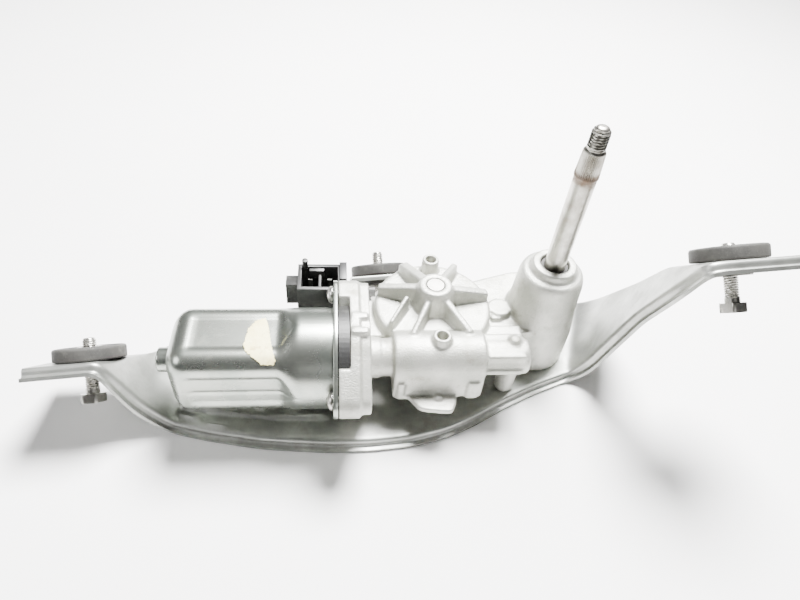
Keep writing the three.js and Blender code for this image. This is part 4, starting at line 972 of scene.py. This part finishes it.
# rooms for the wheel, the linkage, the worm, the bearings and the output shaft, and all bores
def housingRooms():
    ox, oy, my = outputAt.x, outputAt.y, motorAt.y
    window = [(0.0, 0.0)] + [(40 * math.cos(a), 40 * math.sin(a)) for a in
                             (math.radians(58 + 82 * k / 12) for k in range(13))]
    linkRoom = belt([(0, 0, 12), (ox, oy, 12), (ox + 8, oy + 9, 9), (*pivots[0], 7.4),
                     (*pivots[1], 7.4)])
    rooms = [
        spin(rod(25, -17, 5.5), 0),
        spin(rod(4.3, -1, 22), 0, 0, 0, 48),
        prism(linkRoom, -17, -3.5),
        alongMotor(rod(6.9, -19, 18), 64),
        alongMotor([(0, -42), (6.3, -42), (6.3, -25.5), (3.8, -25.5), (3.8, 17), (5.3, 17),
                    (5.3, 38.2), (0, 38.2)], 48),
        alongMotor([(0, -47), (20.6, -47), (20.6, -40.8), (14, -40.8), (14, -37), (0, -37)], 96),
        moved(prism(window, -47, -40.8), onMotor),
        spin([(0, -4.5), (7.3, -4.5), (7.3, 25.4), (6.9, 26), (6.9, 29.2), (7.4, 30.4), (7.4, 31),
              (0, 31)], 0, ox, oy),
        spin(rod(2.6, 9, 16), 0, 1, 24, 40),
        spin(rod(2.6, 9.2, 16.2), 0, 0.6, my, 40)]
    rooms += [spin(rod(2.2, -31, -19), 0, x, y, 24) for x, y in footPoints]
    for _, (y, z, _) in flangeEars:
        bore = alongMotor(rod(2.4, -47, -31), 24)
        rooms.append(shifted(bore, 0, y, z))
    for angle in (math.radians(110), math.radians(150), math.radians(330)):
        rooms.append(spin(rod(1.5, -17, -10), 0,
                          26.75 * math.cos(angle), 26.75 * math.sin(angle), 20))
    return rooms


def gearHousing():
    ox, oy, my = outputAt.x, outputAt.y, motorAt.y
    linkCase = belt([(0, 0, 16), (ox, oy, 15.5), (ox + 8, oy + 9, 12),
                     (*pivots[0], 10.5), (*pivots[1], 10.5)])
    fin = block(ox + 10, ox + 21, oy + 4, oy + 14, casting["base"], -4)
    made = toObject("gear_housing_casting", together([
        *domeShapes(), prism(linkCase, casting["base"], -1, 0.8), *tunnelShapes(),
        post(1, 24, 15), post(0.6, my, 15.2), fin, towerShape(), *flangeShapes(),
        *standingShapes()]))
    cast(made, casting["voxel"], casting["rounds"])
    carved(made, housingRooms())
    cast(made, casting["voxel"], casting["rounds"])
    thin = made.modifiers.new("thin", "DECIMATE")
    thin.ratio = min(1.0, casting["faces"] / (2 * len(made.data.polygons)))
    baked(made)
    print("casting triangles", sum(len(face.vertices) - 2 for face in made.data.polygons))
    finish(made, materials["castAluminium"], "housing", ("gear_housing",), 0)
    made.data.polygons.foreach_set("use_smooth", [True] * len(made.data.polygons))


gearHousing()
print("gear housing made")


# Bracket

plateTop, sheet = -30.0, 1.6


def padStation(side, front, back=None, half=18.0):
    back = front if back is None else back
    at = padAt[side]
    return (at + padAlong * front - padBack * half, at + padAlong * back + padBack * half, boltLean)


def flatStation(x0, y0, x1, y1):
    return Vector((x0, y0, plateTop)), Vector((x1, y1, plateTop)), Vector((0, 0, 1))


rampDown, rampUp = Vector((0.75, 0.3, 0.6)), Vector((-0.93, 0.28, 0.25))
mainStations = [
    padStation("left", -21), padStation("left", -8), padStation("left", 3, 8),
    padStation("left", 9.5, 20),
    (Vector((-133, -37.6, -18)), Vector((-134.5, 2, -27)), rampDown),
    flatStation(-122, -40.5, -122, 14), flatStation(-105, -45, -106, 24),
    flatStation(-80, -50, -82, 28), flatStation(-49.5, -52.8, -54, 27),
    flatStation(-30, -52.6, -38, 17), flatStation(-12, -51, -14, 15), flatStation(5, -47, 4, 17),
    flatStation(20, -40.5, 20, 29), flatStation(36, -31.5, 34, 36), flatStation(55, -22.5, 62, 38),
    flatStation(76, -14.5, 94, 37),
    (Vector((82, -14.5, -20)), Vector((102, 31, -20)), rampUp),
    (Vector((87.5, -24, 25)), Vector((103.5, 6, 17)), rampUp),
    padStation("right", -21, -17), padStation("right", -8), padStation("right", 23)]
rearStations = [
    *[padStation("rear", along, along, 15.5) for along in (-16, 0, 17)],
    (Vector((16, 30, -26)), Vector((20, 48, -29.6)), Vector((0, 0, 1)).lerp(boltLean, 0.4)),
    flatStation(34, 14, 38, 33)]
beads = [((-122.5, -35.5), (-110, -38), 1.7, 1.0), ((-121.5, -39.4), (-98, -43.5), 1.5, 0.9)]
stepLine = [(-122.1, -32.1), (-91.6, -37.3), (-78.6, -39.3), (-49.6, -39.8)]
stepShape = {"height": 1.5, "width": 1.6, "fade": 4}


# height of the beads and the step pressed into the middle of the bracket
def relief(x, y):
    high = 0.0
    p = Vector((x, y))
    for (x0, y0), (x1, y1) in zip(stepLine, stepLine[1:]):
        if x0 <= x < x1:
            edge = y0 + (y1 - y0) * (x - x0) / (x1 - x0)
            t = min(max((y - edge) / stepShape["width"] + 0.5, 0), 1)
            fade = stepShape["fade"]
            ends = min((x - stepLine[0][0]) / fade, (stepLine[-1][0] - x) / fade, 1)
            high += stepShape["height"] * t * t * (3 - 2 * t) * ends
    for start, end, radius, height in beads:
        a, b = Vector(start), Vector(end)
        t = min(max((p - a).dot(b - a) / (b - a).length_squared, 0), 1)
        d = (p - a.lerp(b, t)).length / radius
        if d < 1:
            high += height * (1 - d ** 3) ** 2
    return high


# rings between the stations, with the bends between them rounded
def stripLines(stations, spacing, bend, bends=3):
    lines = []
    for (f0, b0, n0), (f1, b1, n1) in zip(stations, stations[1:]):
        count = max(2, round(max((f1 - f0).length, (b1 - b0).length) / spacing))
        lines += [(f0.lerp(f1, k / count), b0.lerp(b1, k / count), n0.lerp(n1, k / count))
                  for k in range(count)]
    lines.append(stations[-1])
    for turn in range(bends):
        smooth = list(lines)
        for i in range(1, len(lines) - 1):
            reach = min(bend, i, len(lines) - 1 - i)
            some = lines[i - reach:i + reach + 1]
            smooth[i] = tuple(sum((line[k] for line in some), Vector()) / len(some) for k in range(3))
        lines = smooth
    return lines


far = 100.0  # stands for the back edge in the section's drawing
edgeWidth = 8.0  # this much at either edge keeps its width


# the sheet cut across: step and lip in front, step behind
def stripSection(drop, lip):
    outer = [(-lip, -drop)] if lip else []
    outer += [(0, -drop), (0, 0)] if lip else [(0, -drop - sheet), (0, 0)]
    top = filleted(outer + [(far, 0), (far, -drop - sheet)], 2.2, False, 4)
    inner = [(far - sheet, -drop - sheet), (far - sheet, -sheet), (sheet, -sheet), (sheet, -drop - sheet)]
    if lip:
        inner.append((-lip, -drop - sheet))
    under = filleted(inner, 1.2, False, 3)
    section = []
    for part in (top, under):
        for (u0, v0), (u1, v1) in zip(part, part[1:]):
            count = 64 if abs(u1 - u0) > 60 else 1
            section += [(u0 + (u1 - u0) * k / count, v0 + (v1 - v0) * k / count) for k in range(count)]
        section.append(part[-1])
    return section


def pressedStrip(stations, drop, lip, spacing, bend):
    section, rings = stripSection(drop, lip), []
    for front, back, normal in stripLines(stations, spacing, bend):
        across = back - front
        width = across.length
        across.normalize()
        upright = (normal - across * normal.dot(across)).normalized()
        flat = upright.z > 0.995 and abs(front.z - plateTop) < 0.5
        ring = []
        for u, v in section:
            if u > far - edgeWidth:
                at = u - far + width
            elif u > edgeWidth:
                at = edgeWidth + (u - edgeWidth) / (far - 2 * edgeWidth) * (width - 2 * edgeWidth)
            else:
                at = u
            p = front + across * at + upright * v
            if flat and 2 < at < width - 2 and v > -2:
                p += upright * relief(p.x, p.y)
            ring.append(tuple(p))
        rings.append(ring)
    return stacked(rings)


def bracket():
    made = toObject("bracket_pressing", pressedStrip(mainStations, 4.0, 2.4, 1.6, 2))
    arm = pressedStrip(rearStations, 1.2, 0, 2.0, 1)
    carved(made, [arm], "UNION")
    holes = [moved(turned(rod(9.3, -9, 9), 64), onPad(side)) for side in padAt]
    holes += [spin(rod(2.6, -40, -25), 0, x, y, 32) for x, y in footPoints]
    carved(made, holes)
    finish(made, materials["galvanised"], "housing", ("mounting_bracket",), 40)


bracket()
print("bracket made")


# Softer edges on the socket

def softened(node, width, material):
    copy = frame["nodes"][node].data.copy()
    made = bpy.data.objects.new(node + "_skin", copy)
    scene.collection.objects.link(made)
    work = bmesh.new()
    work.from_mesh(copy)
    bmesh.ops.remove_doubles(work, verts=work.verts, dist=2e-6)
    bmesh.ops.dissolve_limit(work, angle_limit=math.radians(1), verts=work.verts, edges=work.edges)
    work.to_mesh(copy)
    work.free()
    bevel = made.modifiers.new("edge", "BEVEL")
    bevel.width = width * 0.001
    bevel.segments = 2
    bevel.limit_method = "ANGLE"
    bevel.angle_limit = math.radians(40)
    bevel.use_clamp_overlap = True
    baked(made)
    finish(made, material, "housing", (node,), 35)


softened("connector_shell", 0.35, materials["blackPlastic"])
print("socket made")


# Floor, light and camera

sky = {"horizon": 0.45, "zenith": 1.7}
lamps = {"over": {"at": (0.16, 0.34, 0.82), "size": 0.42, "power": 82},
         "left": {"at": (-0.8, -0.2, 0.6), "size": 0.5, "power": 6},
         "front": {"at": (0.3, -1.0, 0.5), "size": 0.6, "power": 2.5}}
lampTarget = Vector((0, 0, 0.03))
view = {"lens": 27, "sensor": 36, "at": (-47.876, -200.223, 214.731),
        "right": (0.99393, -0.07688, 0.07866), "up": (0.0, 0.71515, 0.69897)}


def floor():
    size = 3.0
    mesh = bpy.data.meshes.new("floor")
    corners = [(-size, -size, 0), (size, -size, 0), (size, size, 0), (-size, size, 0)]
    mesh.from_pydata(corners, [], [(0, 1, 2, 3)])
    made = placed("floor", mesh)
    made.location.z = min(sizeBefore[0][2], 0.0) - 0.0002
    made.data.materials.append(materials["floor"])


# a sky that is brighter overhead than at the horizon, and darker towards the front
def skyLight():
    world = bpy.data.worlds.new("studio")
    scene.world = world
    world.use_nodes = True
    n = Nodes(world.node_tree)
    way = n.add("ShaderNodeTexCoord").outputs["Generated"]
    split = n.add("ShaderNodeSeparateXYZ", None, {"Vector": way})
    up = n.value(split, 2)
    front = n.span(n.value(split, 1), -0.9, 0.2, (0.62, 1.0))
    back = world.node_tree.nodes["Background"]
    power = n.span(up, -0.1, 0.85, (sky["horizon"], sky["zenith"])) * front
    world.node_tree.links.new(power.socket, back.inputs["Strength"])


def addLamp(name, settings):
    data = bpy.data.lights.new(name, "AREA")
    data.shape = "DISK"
    data.size = settings["size"]
    data.energy = settings["power"]
    lamp = placed(name, data)
    lamp.location = settings["at"]
    aim = lampTarget - Vector(settings["at"])
    lamp.rotation_euler = aim.to_track_quat("-Z", "Y").to_euler()


def addCamera():
    lens = bpy.data.cameras.new("camera")
    lens.sensor_width = view["sensor"]
    lens.lens = view["lens"]
    lens.clip_start = 0.01
    camera = placed("camera", lens)
    right, up = Vector(view["right"]), Vector(view["up"])
    turn = Matrix((right, up, right.cross(up))).transposed().to_4x4()
    camera.matrix_world = Matrix.Translation(wheelAt + Vector(view["at"]) * 0.001) @ turn
    scene.camera = camera


floor()
skyLight()
for name, settings in lamps.items():
    addLamp(name, settings)
addCamera()
print("studio made")
